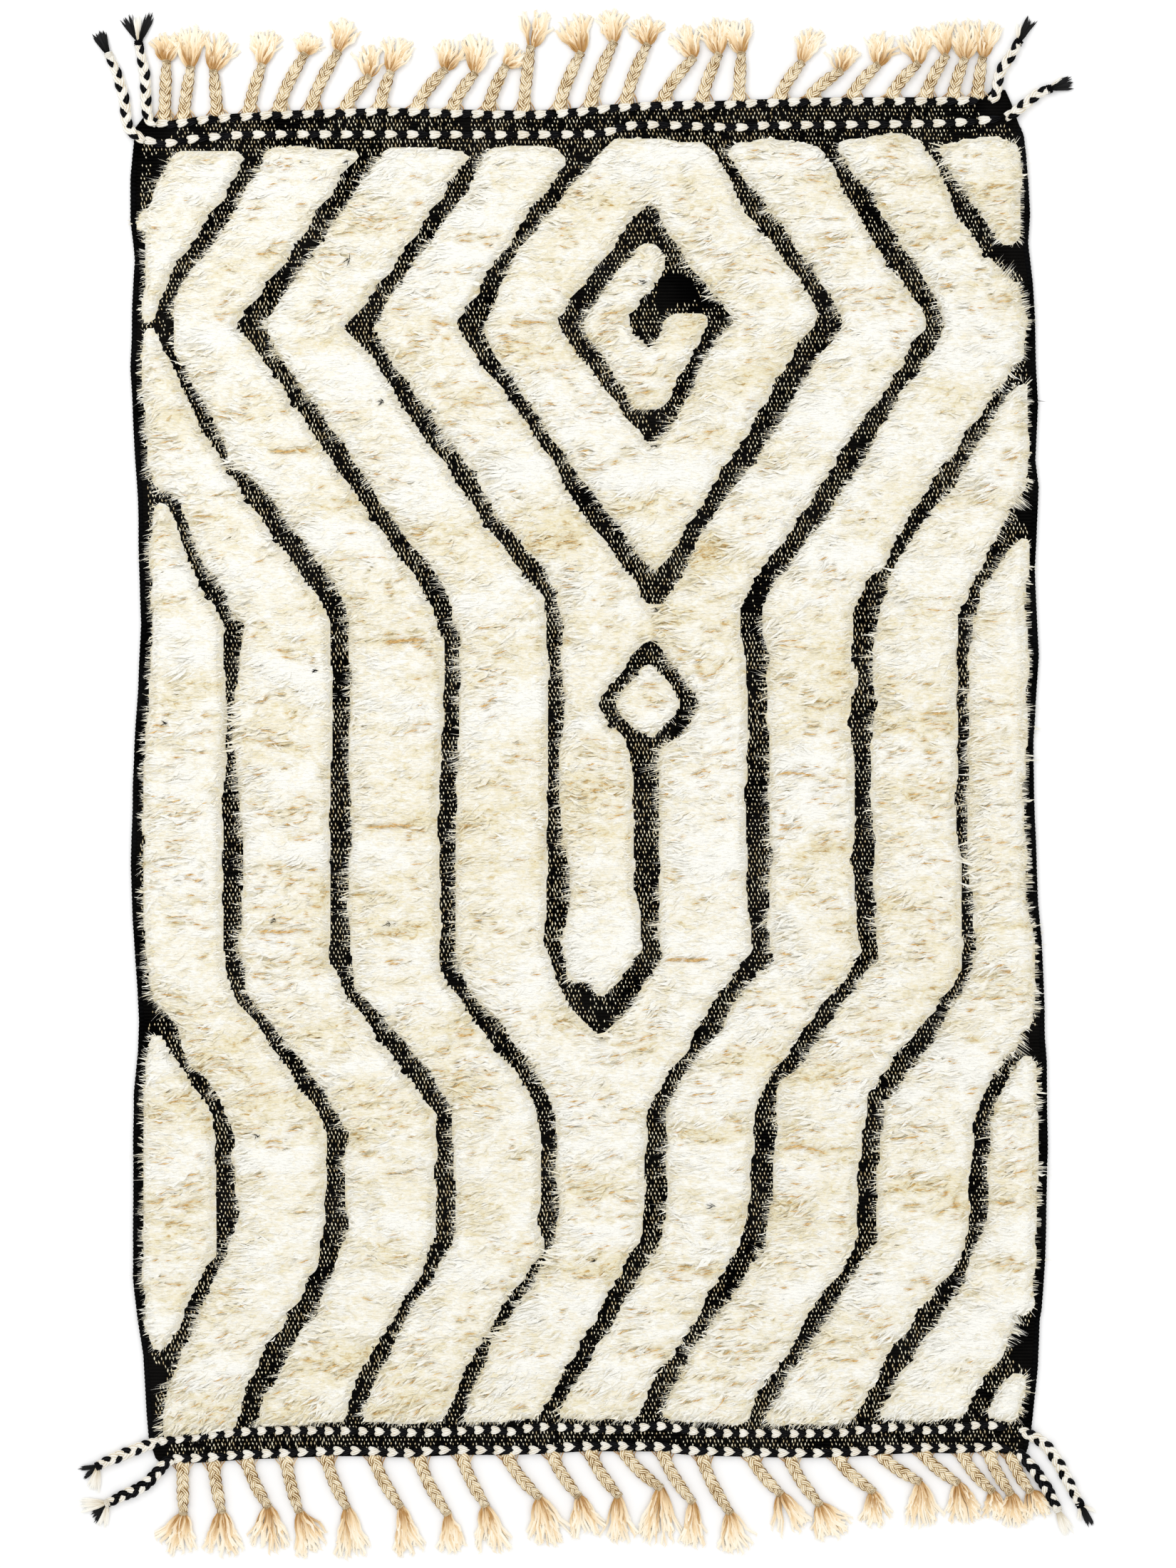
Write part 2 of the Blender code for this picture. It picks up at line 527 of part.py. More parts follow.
def section(body, centre, heading, base, half_width, height):
    """Add one four-sided section and return its corners: left, right, right top, left top."""
    right = Vector((heading.y, -heading.x)).normalized()
    corners = []
    for across, up in ((-1.0, 0.0), (1.0, 0.0), (0.62, height), (-0.62, height)):
        spot = flat(centre) + right * (across * half_width)
        corners.append(body.verts.new((spot.x * MM, spot.y * MM, (base + up) * MM)))
    return corners


def join_sections(body, first, second):
    """Close the four sides between two sections."""
    for index in range(4):
        after = (index + 1) % 4
        body.faces.new((first[index], first[after], second[after], second[index]))


def add_brush(body, neck, knot, tip, spread, count, seed):
    """Grow a brush of locks from a section: each lock swells, then ends in a thin edge."""
    heading = flat(tip) - flat(knot)
    length = heading.length
    heading.normalize()
    right = Vector((heading.y, -heading.x))
    left_low, right_low, right_top, left_top = [corner.co.copy() for corner in neck]
    start = flat(knot) + heading * 6.0
    low = []
    high = []
    for index in range(count + 1):
        part = index / count
        across = right * (2.0 * part - 1.0) * NECK[0]
        spot = (start + across) * MM
        low.append(body.verts.new((spot.x, spot.y, left_low.z + (right_low.z - left_low.z) * part)))
        high.append(body.verts.new((spot.x, spot.y, NECK[1] * MM)))
    half = count // 2
    for lower, upper, edge in ((neck[0], neck[1], low), (neck[3], neck[2], high)):
        for index in range(count):
            corner = lower if index < half else upper
            body.faces.new((corner, edge[index], edge[index + 1]))
        body.faces.new((lower, upper, edge[half]))
    body.faces.new((neck[0], neck[3], high[0], low[0]))
    body.faces.new((neck[1], neck[2], high[-1], low[-1]))

    for index in range(count):
        lane = (index + 0.5) / count * 2.0 - 1.0
        reach = length * (0.9 + 0.18 * wobble(index * 31.0 + seed * 17.0, seed, 9.0, 4.0))
        lane_half = spread / count
        middle = start + heading * reach * 0.5 + right * (lane * spread * 0.86)
        middle_ring = []
        for across, up in ((-0.72, 0.0), (0.72, 0.0), (0.5, 0.9), (-0.5, 0.9)):
            spot = (middle + right * (across * lane_half)) * MM
            middle_ring.append(body.verts.new((spot.x, spot.y, up * NECK[1] * MM)))
        root = (low[index], low[index + 1], high[index + 1], high[index])
        join_sections(body, root, middle_ring)
        end = start + heading * (reach - 6.0) + right * (lane * spread)
        tips = []
        for across in (-0.42, 0.42):
            spot = (end + right * (across * lane_half)) * MM
            tips.append(body.verts.new((spot.x, spot.y, 0.0)))
        body.faces.new((middle_ring[0], middle_ring[1], tips[1], tips[0]))
        body.faces.new((middle_ring[3], middle_ring[2], tips[1], tips[0]))
        body.faces.new((middle_ring[0], middle_ring[3], tips[0]))
        body.faces.new((middle_ring[1], middle_ring[2], tips[1]))


def build_fringe(name, line, braids, outward, finish):
    """Make one end's fringe: a narrow strip past the cloth's edge, with its braids and brushes."""
    body = bmesh.new()
    stations = end_stations(braids)
    strip = []
    for x in stations:
        edge = along(line, x) + outward * (ROW_OVER_EDGE + GAP)
        ring = []
        for y, z in ((edge, 0.0), (edge + outward * STRIP, 0.0), (edge + outward * STRIP, GROUND), (edge, GROUND)):
            ring.append(body.verts.new((x * MM, y * MM, z * MM)))
        strip.append(ring)
    body.faces.new(strip[0])
    body.faces.new(strip[-1])
    for number, (first, second) in enumerate(zip(strip, strip[1:])):
        is_root = number % 2 == 1
        for index in range(4):
            if is_root and index == 1:
                continue
            after = (index + 1) % 4
            body.faces.new((first[index], first[after], second[after], second[index]))

    knots = [flat(row[1:3]) for row in braids]
    for number, (root_x, knot_x, knot_y, tip_x, tip_y) in enumerate(braids):
        first, second = strip[2 * number + 1], strip[2 * number + 2]
        left, right = (first, second) if outward > 0.0 else (second, first)
        ring = [left[1], right[1], right[2], left[2]]
        start = Vector((root_x, along(line, root_x) + outward * (ROW_OVER_EDGE + GAP + STRIP)))
        knot = knots[number]
        run = knot - start
        for plait in range(PLAITS):
            part = (plait + 0.75) / (PLAITS + 0.6)
            bow = math.sin(part * math.pi) * 0.1 * (1.0 if number % 2 else -0.5)
            way = Vector((run.x * part ** 1.3, run.y * part ** 0.85))
            centre = start + way + Vector((run.y, -run.x)) * bow
            heading = Vector((0.0, outward)).lerp(run.normalized(), min(1.0, 0.05 + 1.3 * part))
            swell = 1.0 if plait % 2 == 0 else 0.84
            now = section(body, centre, heading, 0.0, BRAID[0] * swell, BRAID[1] * swell)
            join_sections(body, ring, now)
            ring = now
        heading = (flat((tip_x, tip_y)) - knot).normalized().lerp(run.normalized(), 0.5)
        now = section(body, knot, heading, 0.0, *KNOT)
        join_sections(body, ring, now)
        near = min((knot - other).length for other in knots if other != knot)
        add_brush(body, now, knot, (tip_x, tip_y), min(25.0, 0.42 * near), LOCKS_PER_BRUSH, number + outward)
    return finish_object(name, body, (finish,))


def build_twined_cord(name, line, finish):
    """Make one twined cord: a row of stitches across the cloth, with a braided tail at each end."""
    left_tail, right_tail = TAILS[name]
    body = bmesh.new()
    on_cloth = GROUND + GAP
    stations = []
    for number, point in enumerate(resample(left_tail[::-1], STITCH * 0.9)):
        stations.append((flat(point), "tail"))
    for point in resample(line, STITCH):
        stations.append((flat(point), "row"))
    for number, point in enumerate(resample(right_tail, STITCH * 0.9)):
        stations.append((flat(point), "tail"))
    anchors = {"left": flat(left_tail[1]), "right": flat(right_tail[1])}

    rings = []
    tips = [flat(tuft) for tuft in TUFTS[name]]
    around = [tips[0]] + [centre for centre, kind in stations] + [tips[1]]
    for number, (centre, kind) in enumerate(stations):
        before = around[number]
        after = around[number + 2]
        past_left = (centre - flat(left_tail[0])).length if kind == "tail" and centre.x < 0.0 else 0.0
        past_right = (centre - flat(right_tail[0])).length if kind == "tail" and centre.x > 0.0 else 0.0
        edge = (anchors["left"] - flat(left_tail[0])).length if past_left else (
            anchors["right"] - flat(right_tail[0])).length
        past = max(past_left, past_right)
        base = on_cloth * min(1.0, max(0.0, 1.0 - (past - edge) / 22.0))
        bulge = 1.0 if number % 2 else 0.78
        grown = min(1.0, past / edge)
        half_width = (TWINED[0] + (TAIL[0] - TWINED[0]) * grown) * (0.86 + 0.14 * bulge)
        height = (TWINED[1] + (TAIL[1] - TWINED[1]) * grown) * bulge
        rings.append(section(body, centre, after - before, base, half_width, height))
    for first, second in zip(rings, rings[1:]):
        join_sections(body, first, second)
    ends = ((rings[0], stations[0][0], TUFTS[name][0], True), (rings[-1], stations[-1][0], TUFTS[name][1], False))
    for seed, (ring, centre, (tip_x, tip_y, spread), turned) in enumerate(ends):
        corners = [ring[1], ring[0], ring[3], ring[2]] if turned else ring
        add_brush(body, corners, centre, (tip_x, tip_y), spread, LOCKS_PER_TUFT, seed + 40.0)
    return finish_object("cord_" + name, body, (finish,))


def main():
    """Build the whole rug."""
    clear_scene()
    black_wool = material("black_wool", (0.012, 0.011, 0.011), 0.92)
    cream_wool = material("cream_wool", (0.82, 0.76, 0.63), 0.95)
    twined_wool = material("twined_wool", (0.30, 0.28, 0.25), 0.92)
    warp_yarn = material("warp_yarn", (0.66, 0.50, 0.30), 0.9)
    build_cloth(black_wool, cream_wool)
    build_twined_cord("top_outer", TOP_OUTER, twined_wool)
    build_twined_cord("top_inner", TOP_INNER, twined_wool)
    build_twined_cord("bottom_inner", BOTTOM_INNER, twined_wool)
    build_twined_cord("bottom_outer", BOTTOM_OUTER, twined_wool)
    build_fringe("fringe_top", TOP_OUTER, TOP_BRAIDS, 1.0, warp_yarn)
    build_fringe("fringe_bottom", BOTTOM_OUTER, BOTTOM_BRAIDS, -1.0, warp_yarn)


main()
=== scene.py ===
"""A Beni Ourain rug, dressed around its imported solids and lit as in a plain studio.

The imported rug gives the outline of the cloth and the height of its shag. This script lays a black
weave with cream warp floats on that outline, plants locks of wool on the bands, twines the end
cords and plaits the fringes. Everything is in metres, +Z up, with +Y towards the big diamond.
"""

import logging
import math
from dataclasses import dataclass, field
from enum import Enum
from functools import lru_cache
from typing import Any, Sequence

import bmesh
import bpy
import numpy as np
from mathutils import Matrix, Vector
from mathutils.bvhtree import BVHTree
from mathutils.geometry import delaunay_2d_cdt


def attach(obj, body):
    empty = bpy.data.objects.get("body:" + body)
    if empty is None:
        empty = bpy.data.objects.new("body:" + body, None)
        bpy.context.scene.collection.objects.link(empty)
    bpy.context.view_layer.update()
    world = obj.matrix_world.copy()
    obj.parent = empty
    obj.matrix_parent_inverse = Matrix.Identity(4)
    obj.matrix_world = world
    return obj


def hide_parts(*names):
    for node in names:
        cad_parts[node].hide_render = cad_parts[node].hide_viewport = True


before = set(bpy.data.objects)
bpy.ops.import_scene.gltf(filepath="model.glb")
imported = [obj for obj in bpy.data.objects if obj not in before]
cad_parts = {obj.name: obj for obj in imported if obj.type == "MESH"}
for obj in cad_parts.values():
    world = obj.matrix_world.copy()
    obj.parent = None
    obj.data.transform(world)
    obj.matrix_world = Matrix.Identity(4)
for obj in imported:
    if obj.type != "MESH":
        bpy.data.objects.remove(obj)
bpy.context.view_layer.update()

LOG = logging.getLogger("rug")
MM = 0.001
BODY = "root"
SEED = 417
PHOTO_HEIGHT = 2.64         # metres of floor from the photograph's top to its bottom edge
LATTICE = 256               # values along a side of a ripple's lattice, before it repeats
TINY = 1e-6                 # the least steepness that a slope is divided by
Triple = tuple[float, float, float]
Colour = Triple
Points = tuple[tuple[float, ...], ...]
Array = np.ndarray
Piece = bpy.types.Object


# Shader building

class Socket:
    """A shader value that adds its Math nodes when it is used in an expression."""

    def __init__(self, shader: "Shader", output: bpy.types.NodeSocket) -> None:
        """Wrap a node's output."""
        self.shader = shader
        self.output = output

    def _math(self, operation: str, first: Any, second: Any) -> "Socket":
        """Return the result of one Math node."""
        node = self.shader.node("ShaderNodeMath", {"operation": operation}, {0: first, 1: second})
        return self.shader.out(node)

    def __add__(self, other: Any) -> "Socket":
        """Return the sum."""
        return self._math("ADD", self, other)

    __radd__ = __add__

    def __sub__(self, other: Any) -> "Socket":
        """Return the difference."""
        return self._math("SUBTRACT", self, other)

    def __rsub__(self, other: Any) -> "Socket":
        """Return the difference, the other way round."""
        return self._math("SUBTRACT", other, self)

    def __mul__(self, other: Any) -> "Socket":
        """Return the product."""
        return self._math("MULTIPLY", self, other)

    __rmul__ = __mul__

    def sine(self) -> "Socket":
        """Return the sine."""
        return self._math("SINE", self, 0.0)


class Shader:
    """One material and the nodes that feed its Principled surface."""

    def __init__(self, name: str, roughness: float, sheen: float = 0.0, gloss: float = 0.1) -> None:
        """Start a material.

        Args:
            name: The material's name.
            roughness: How dull the surface is.
            sheen: How much its fuzz catches grazing light.
            gloss: How much it mirrors.
        """
        self.material = bpy.data.materials.new(name)
        self.material.use_nodes = True
        self.tree = self.material.node_tree
        self.surface = self.tree.nodes["Principled BSDF"]
        self.surface.inputs["Roughness"].default_value = roughness
        self.surface.inputs["Specular IOR Level"].default_value = gloss
        self.surface.inputs["Sheen Weight"].default_value = sheen
        self.surface.inputs["Sheen Roughness"].default_value = 0.6

    def node(self, kind: str, settings: dict[str, Any] | None = None,
             sockets: dict[Any, Any] | None = None) -> bpy.types.Node:
        """Add a node.

        Args:
            kind: The node's type.
            settings: Its own settings. A ramp's stops come as "stops".
            sockets: The value or the link of each input, by name or number.

        Returns:
            The node.
        """
        made = self.tree.nodes.new(kind)
        for key, value in (settings or {}).items():
            if key == "stops":
                ramp = made.color_ramp.elements
                while len(ramp) < len(value):
                    ramp.new(0.5)
                for element, (place, colour) in zip(ramp, value):
                    element.position = place
                    element.color = (*colour, 1.0)
            else:
                setattr(made, key, value)
        for key, value in (sockets or {}).items():
            if isinstance(value, Socket):
                self.tree.links.new(value.output, made.inputs[key])
            else:
                made.inputs[key].default_value = value
        return made

    def out(self, node: bpy.types.Node, name: Any = 0) -> Socket:
        """Return one of a node's outputs."""
        return Socket(self, node.outputs[name])

    def attribute(self, name: str) -> Socket:
        """Return a mesh attribute as a number."""
        return self.out(self.node("ShaderNodeAttribute", {"attribute_name": name}), "Fac")

    def place(self, scale: Triple = (1.0, 1.0, 1.0)) -> Socket:
        """Return the place on the object, scaled."""
        coordinates = self.out(self.node("ShaderNodeTexCoord"), "Object")
        return self.out(self.node("ShaderNodeMapping", {"vector_type": "POINT"},
                                  {"Vector": coordinates, "Scale": scale}))

    def noise(self, scale: float, detail: float = 2.0, stretch: Triple = (1.0, 1.0, 1.0),
              curl: float = 0.0) -> Socket:
        """Return a noise of that many bumps to the metre, with its bumps curled up."""
        return self.out(self.node("ShaderNodeTexNoise", None, {
            "Vector": self.place(stretch), "Scale": scale, "Detail": detail, "Distortion": curl}), "Fac")

    def ramp(self, factor: Socket, stops: Sequence[tuple[float, Colour]]) -> Socket:
        """Return the colour that a ramp gives for a value."""
        return self.out(self.node("ShaderNodeValToRGB", {"stops": stops}, {"Fac": factor}), "Color")

    def paint(self, colour: Socket) -> None:
        """Feed the surface's colour."""
        self.tree.links.new(colour.output, self.surface.inputs["Base Color"])

    def emboss(self, height: Socket, distance: float) -> None:
        """Feed the surface's normal from a height."""
        node = self.node("ShaderNodeBump", None, {"Height": height, "Distance": distance})
        self.tree.links.new(node.outputs["Normal"], self.surface.inputs["Normal"])


# Finishes

@dataclass(frozen=True)
class LockFinish:
    """Loose wool: dark and warm at its root, pale at its tip."""

    name: str
    root: Colour
    middle: Colour
    tip: Colour
    tint_share: float = 0.16
    roughness: float = 0.95
    gloss: float = 0.02
    stops: Triple = (0.05, 0.42, 0.82)

    def material(self) -> bpy.types.Material:
        """Return the material."""
        shader = Shader(self.name, self.roughness, gloss=self.gloss)
        along = shader.attribute("along") + self.tint_share * shader.attribute("tint")
        shader.paint(shader.ramp(along, list(zip(self.stops, (self.root, self.middle, self.tip)))))
        return shader.material


@dataclass(frozen=True)
class ShagFinish:
    """Long combed wool: near white, warmer in its depth, with fine curled fibres along its flow. The warmth
    in its depth is partly the wool's own yellower roots and partly painted shade, which the tint also lays in
    its hollows, rims and partings.
    """

    name: str
    # The darker, warmer stops mostly carry painted shade; the palest one also paints the lit tops of the
    # lumps.
    colours: tuple[tuple[float, Colour], ...] = (
        (0.04, (0.57, 0.36, 0.11)), (0.24, (0.825, 0.74, 0.50)), (0.46, (0.903, 0.854, 0.71)),
        (0.68, (0.963, 0.949, 0.882)))
    roughness: float = 0.9
    sheen: float = 0.1
    level: float = 0.42
    tip_share: float = 0.20
    tint_share: float = 0.13
    wave_share: float = 0.85
    patch_share: float = 0.40
    fibre_share: float = 0.36
    relief: float = 2.4 * MM

    def material(self) -> bpy.types.Material:
        """Return the material."""
        shader = Shader(self.name, self.roughness, self.sheen)
        fibre = shader.noise(340.0, 3.0, (0.3, 1.0, 1.0), 1.0)
        wave = shader.noise(120.0, 4.0, (0.6, 1.0, 1.0), 1.0)
        patch = shader.noise(13.0, 4.0, (0.7, 1.5, 1.0), 0.6)
        along, tint = shader.attribute("along"), shader.attribute("tint")
        # Painted shade: each lock darkens and warms towards its root, where it lies under the others, partly
        # also the wool's own yellower roots.
        tone = self.level + self.tip_share * along + self.tint_share * tint
        mixed = (tone + self.wave_share * (wave - 0.5) + self.patch_share * (patch - 0.5)
                 + self.fibre_share * (fibre - 0.5))
        shader.paint(shader.ramp(mixed, self.colours))
        shader.emboss(fibre + 0.8 * wave, self.relief)
        return shader.material


@dataclass(frozen=True)
class WeaveFinish:
    """Flat weave, in ribs of weft across the rug."""

    name: str
    thread: Colour
    worn: Colour
    rib: float = 5.5 * MM
    relief: float = 0.9 * MM

    def material(self) -> bpy.types.Material:
        """Return the material."""
        shader = Shader(self.name, 1.0, 0.0, 0.0)
        split = shader.node("ShaderNodeSeparateXYZ", None, {0: shader.place()})
        across, length = shader.out(split, "X"), shader.out(split, "Y")
        turns = 2.0 * math.pi / self.rib
        ribs = (length * turns).sine() * 0.5 + 0.5
        beads = (across * (turns * 0.92) + 1.6 * (length * (turns * 0.5)).sine()).sine() * 0.5 + 0.5
        wear = shader.noise(9.0, 4.0)
        shader.paint(shader.ramp(wear + 0.18 * ribs, [(0.42, self.thread), (0.8, self.worn)]))
        shader.emboss(0.7 * ribs + 0.5 * beads + 0.4 * shader.noise(700.0), self.relief)
        return shader.material


@dataclass(frozen=True)
class YarnFinish:
    """Spun yarn: a few ends side by side along a strand, with its tone changing from place to place. Painted
    shade fills the grooves between the ends and, by the rim share, darkens the strand's sides; each end's
    crest gets a painted highlight.
    """

    name: str
    groove_shade: Colour
    body: Colour
    light: Colour
    ends: float
    slant: float = 0.0
    # How much painted shade darkens the strand's sides.
    rim: float = 0.0
    roughness: float = 0.9
    gloss: float = 0.02
    relief: float = 0.8 * MM

    def material(self) -> bpy.types.Material:
        """Return the material."""
        shader = Shader(self.name, self.roughness, gloss=self.gloss)
        across, turns = shader.attribute("across"), math.pi * self.ends
        ends = (across * turns + shader.attribute("along") * self.slant).sine() * 0.5 + 0.5
        shade, fibre = shader.noise(70.0, 3.0), shader.noise(900.0)
        edge = across * across
        # Painted shade in the grooves between the ends and along the strand's sides, painted highlight on
        # each end's crest; the noises add the yarn's own uneven tone.
        tone = 0.36 * ends + 0.62 * shade + 0.16 * fibre - self.rim * edge * edge
        shader.paint(shader.ramp(tone, [(0.32, self.groove_shade), (0.52, self.body), (0.76, self.light)]))
        shader.emboss(ends + 0.3 * fibre, self.relief)
        return shader.material


@dataclass(frozen=True)
class FloorFinish:
    """A plain pale floor."""

    colour: Colour = (0.97, 0.97, 0.97)

    def material(self) -> bpy.types.Material:
        """Return the material."""
        shader = Shader("floor", 0.9)
        shader.surface.inputs["Base Color"].default_value = (*self.colour, 1.0)
        return shader.material


SHAG = ShagFinish("shag_wool")
# Painted shade in the depth of the partings, partly also the wool's own yellower roots there.
PARTING_SHADE = LockFinish("shag_parting", (0.82, 0.57, 0.25), (0.48, 0.27, 0.08), (0.78, 0.54, 0.23), 0.4)
FLOAT = LockFinish("warp_float", (0.16, 0.10, 0.04), (0.66, 0.52, 0.28), (0.98, 0.92, 0.70), 0.36)
WEAVE = WeaveFinish("black_weave", (0.0008, 0.0008, 0.0008), (0.007, 0.0065, 0.006))
SELVEDGE = WeaveFinish("black_selvedge", (0.0008, 0.0008, 0.0008), (0.006, 0.006, 0.0065), 7.0 * MM)
# Each yarn runs from painted shade in its grooves, through its own colour, to a painted highlight.
WHITE_YARN = YarnFinish("white_twine", (0.62, 0.52, 0.36), (0.88, 0.84, 0.74), (0.95, 0.93, 0.87), 2.4)
BLACK_YARN = YarnFinish("black_twine", (0.001, 0.001, 0.001), (0.004, 0.004, 0.0045),
                        (0.014, 0.014, 0.016), 2.4)
WARP_YARN = YarnFinish("warp_braid", (0.20, 0.09, 0.015), (0.86, 0.68, 0.40), (0.97, 0.91, 0.75),
                       3.0, 260.0, 0.30)
BRUSH = LockFinish("warp_brush", (0.50, 0.28, 0.10), (0.88, 0.70, 0.45), (0.97, 0.90, 0.76), 0.30)
BLACK_LOCK = LockFinish("black_tuft", (0.006, 0.006, 0.006), (0.012, 0.012, 0.012), (0.02, 0.02, 0.021))
WHITE_LOCK = LockFinish("white_tuft", (0.60, 0.52, 0.38), (0.85, 0.80, 0.70), (0.93, 0.91, 0.84))


# Numbers and meshes

@lru_cache(maxsize=None)
def lattice(number: int) -> Array:
    """Return one of the square lattices of random values, between -1 and 1."""
    return np.random.default_rng(SEED + number).uniform(-1.0, 1.0, (LATTICE, LATTICE)).T


def blended(table: Array, u: Array, v: Array, rounded: bool = False) -> Array:
    """Return a table's values between its points.

    Args:
        table: The values. Past its last row or column it starts again.
        u: Places along its rows, in columns.
        v: Places along its columns, in rows.
        rounded: Whether the values change gently near each point of the table.

    Returns:
        A value for each place.
    """
    i, j = np.floor(u).astype(int), np.floor(v).astype(int)
    s, t = u - i, v - j
    if rounded:
        s, t = s * s * (3.0 - 2.0 * s), t * t * (3.0 - 2.0 * t)
    rows, columns = table.shape
    low, high = (table[row % rows, i % columns] * (1.0 - s) + table[row % rows, (i + 1) % columns] * s
                 for row in (j, j + 1))
    return low * (1.0 - t) + high * t


def ripple(number: int, x: Array, y: Array, size: float) -> Array:
    """Return smooth noise between -1 and 1 on the rug's plane, from one lattice of that size in metres."""
    return blended(lattice(number), x / size, y / size, True)


def unit(vectors: Array) -> Array:
    """Return vectors at a length of 1."""
    return vectors / np.linalg.norm(vectors, axis=-1, keepdims=True)


def share(values: Array) -> Array:
    """Return values held between 0 and 1."""
    return np.clip(values, 0.0, 1.0)


def run_along(path: Array) -> Array:
    """Return how far each sample of a path is from its start."""
    return np.concatenate([[0.0], np.cumsum(np.linalg.norm(np.diff(path, axis=0), axis=1))])


def give(mesh: bpy.types.Mesh, name: str, values: Array, kind: str = "FLOAT") -> None:
    """Store a number, a whole number or a vector on each vertex of a mesh.

    Args:
        mesh: The mesh.
        name: The attribute's name.
        values: One value for each vertex.
        kind: FLOAT, INT or FLOAT_VECTOR.
    """
    layer = mesh.attributes.new(name, kind, "POINT")
    dtype = np.int32 if kind == "INT" else np.float32
    layer.data.foreach_set("vector" if kind == "FLOAT_VECTOR" else "value", np.asarray(values, dtype).ravel())


def make(name: str, places: Any, faces: Sequence[Sequence[int]], finish: bpy.types.Material | None = None,
         smooth: bool = True, **values: Array) -> Piece:
    """Make an object and put it in the scene.

    Args:
        name: Its name.
        places: Its vertices.
        faces: Its faces, as the numbers of their vertices.
        finish: Its material.
        smooth: Whether its faces are shaded as one round surface.
        values: Numbers to store on its vertices, each list under its own name.

    Returns:
        The object.
    """
    mesh = bpy.data.meshes.new(name)
    mesh.from_pydata(places, [], faces)
    for key, numbers in values.items():
        give(mesh, key, numbers)
    if smooth:
        mesh.shade_smooth()
    if finish:
        mesh.materials.append(finish)
    return linked(name, mesh)


def linked(name: str, data: bpy.types.ID) -> bpy.types.Object:
    """Put an object with this data in the scene and return it."""
    item = bpy.data.objects.new(name, data)
    bpy.context.scene.collection.objects.link(item)
    return item


@dataclass
class Shell:
    """Vertices and faces under construction, each vertex with its place across and along its strand."""

    places: list[Array] = field(default_factory=list)
    faces: list[tuple[int, ...]] = field(default_factory=list)
    across: list[Array] = field(default_factory=list)
    along: list[Array] = field(default_factory=list)
    count: int = 0
    floor: float = 0.3 * MM

    def hose(self, lanes: Sequence[Array], across: Array, along: Array, clockwise: bool) -> None:
        """Add a closed hose.

        Args:
            lanes: The lines of vertices along its sides, in order around it.
            across: Each lane's place across the strand.
            along: Each ring's place along it.
            clockwise: Whether the lanes go round that way, as seen from the hose's end.
        """
        sides, rings = len(lanes), len(lanes[0])
        last = (rings - 1) * sides
        faces = [(a + index, a + sides + index, a + sides + (index + 1) % sides, a + (index + 1) % sides)
                 for a in range(0, last, sides) for index in range(sides)]
        faces += [tuple(range(sides)), tuple(range(last + sides - 1, last - 1, -1))]
        if not clockwise:
            faces = [face[:1] + face[:0:-1] for face in faces]
        self.places.append(np.stack(lanes, axis=1).reshape(-1, 3))
        self.faces += [tuple(index + self.count for index in face) for face in faces]
        self.across.append(np.tile(across, rings))
        self.along.append(np.repeat(along, sides))
        self.count += rings * sides

    def build(self, name: str, finish: bpy.types.Material) -> Piece:
        """Return the object, with nothing of it lower than its floor."""
        places = np.concatenate(self.places)
        places[:, 2] = np.maximum(places[:, 2], self.floor)
        return make(name, places.tolist(), self.faces, finish,
                    across=np.concatenate(self.across), along=np.concatenate(self.along))


def smooth_path(points: Sequence[Sequence[float]], step: float) -> Array:
    """Return a smooth curve through points.

    Args:
        points: The points, in two or three dimensions.
        step: The distance between two samples, in metres.

    Returns:
        The samples, evenly spaced, from the first point to the last.
    """
    knots = np.asarray(points, float)
    ends = [2.0 * knots[0] - knots[1], *knots, 2.0 * knots[-1] - knots[-2]]
    t = np.linspace(0.0, 1.0, 16, endpoint=False)[:, None]
    fine = [0.5 * (2.0 * p1 + (p2 - p0) * t + (2.0 * p0 - 5.0 * p1 + 4.0 * p2 - p3) * t ** 2
                   + (3.0 * p1 - p0 - 3.0 * p2 + p3) * t ** 3)
            for p0, p1, p2, p3 in zip(ends, ends[1:], ends[2:], ends[3:])]
    curve = np.concatenate([*fine, knots[-1:]])
    run = run_along(curve)
    stops = np.linspace(0.0, run[-1], max(2, int(round(run[-1] / step)) + 1))
    return np.stack([np.interp(stops, run, column) for column in curve.T], axis=1)


def directions(path: Array) -> tuple[Array, Array]:
    """Return each sample's direction and its level side direction, to the right of it."""
    ahead = unit(np.gradient(path, axis=0))
    return ahead, unit(np.stack([ahead[:, 1], -ahead[:, 0], np.zeros(len(path))], axis=1))


def tube(shell: Shell, path: Array, width: Array, height: Array, sides: int) -> None:
    """Add a closed tube that follows a path.

    Args:
        shell: What it is added to.
        path: Its centre line in three dimensions.
        width: Its half width at each sample.
        height: Its half height at each sample.
        sides: How many sides it has.
    """
    ahead, side = directions(path)
    wide, high = side * width[:, None], np.cross(side, ahead) * height[:, None]
    angles = 2.0 * math.pi * (np.arange(sides) + 0.5) / sides
    shell.hose([path + math.cos(angle) * wide + math.sin(angle) * high for angle in angles],
               np.cos(angles), run_along(path), True)


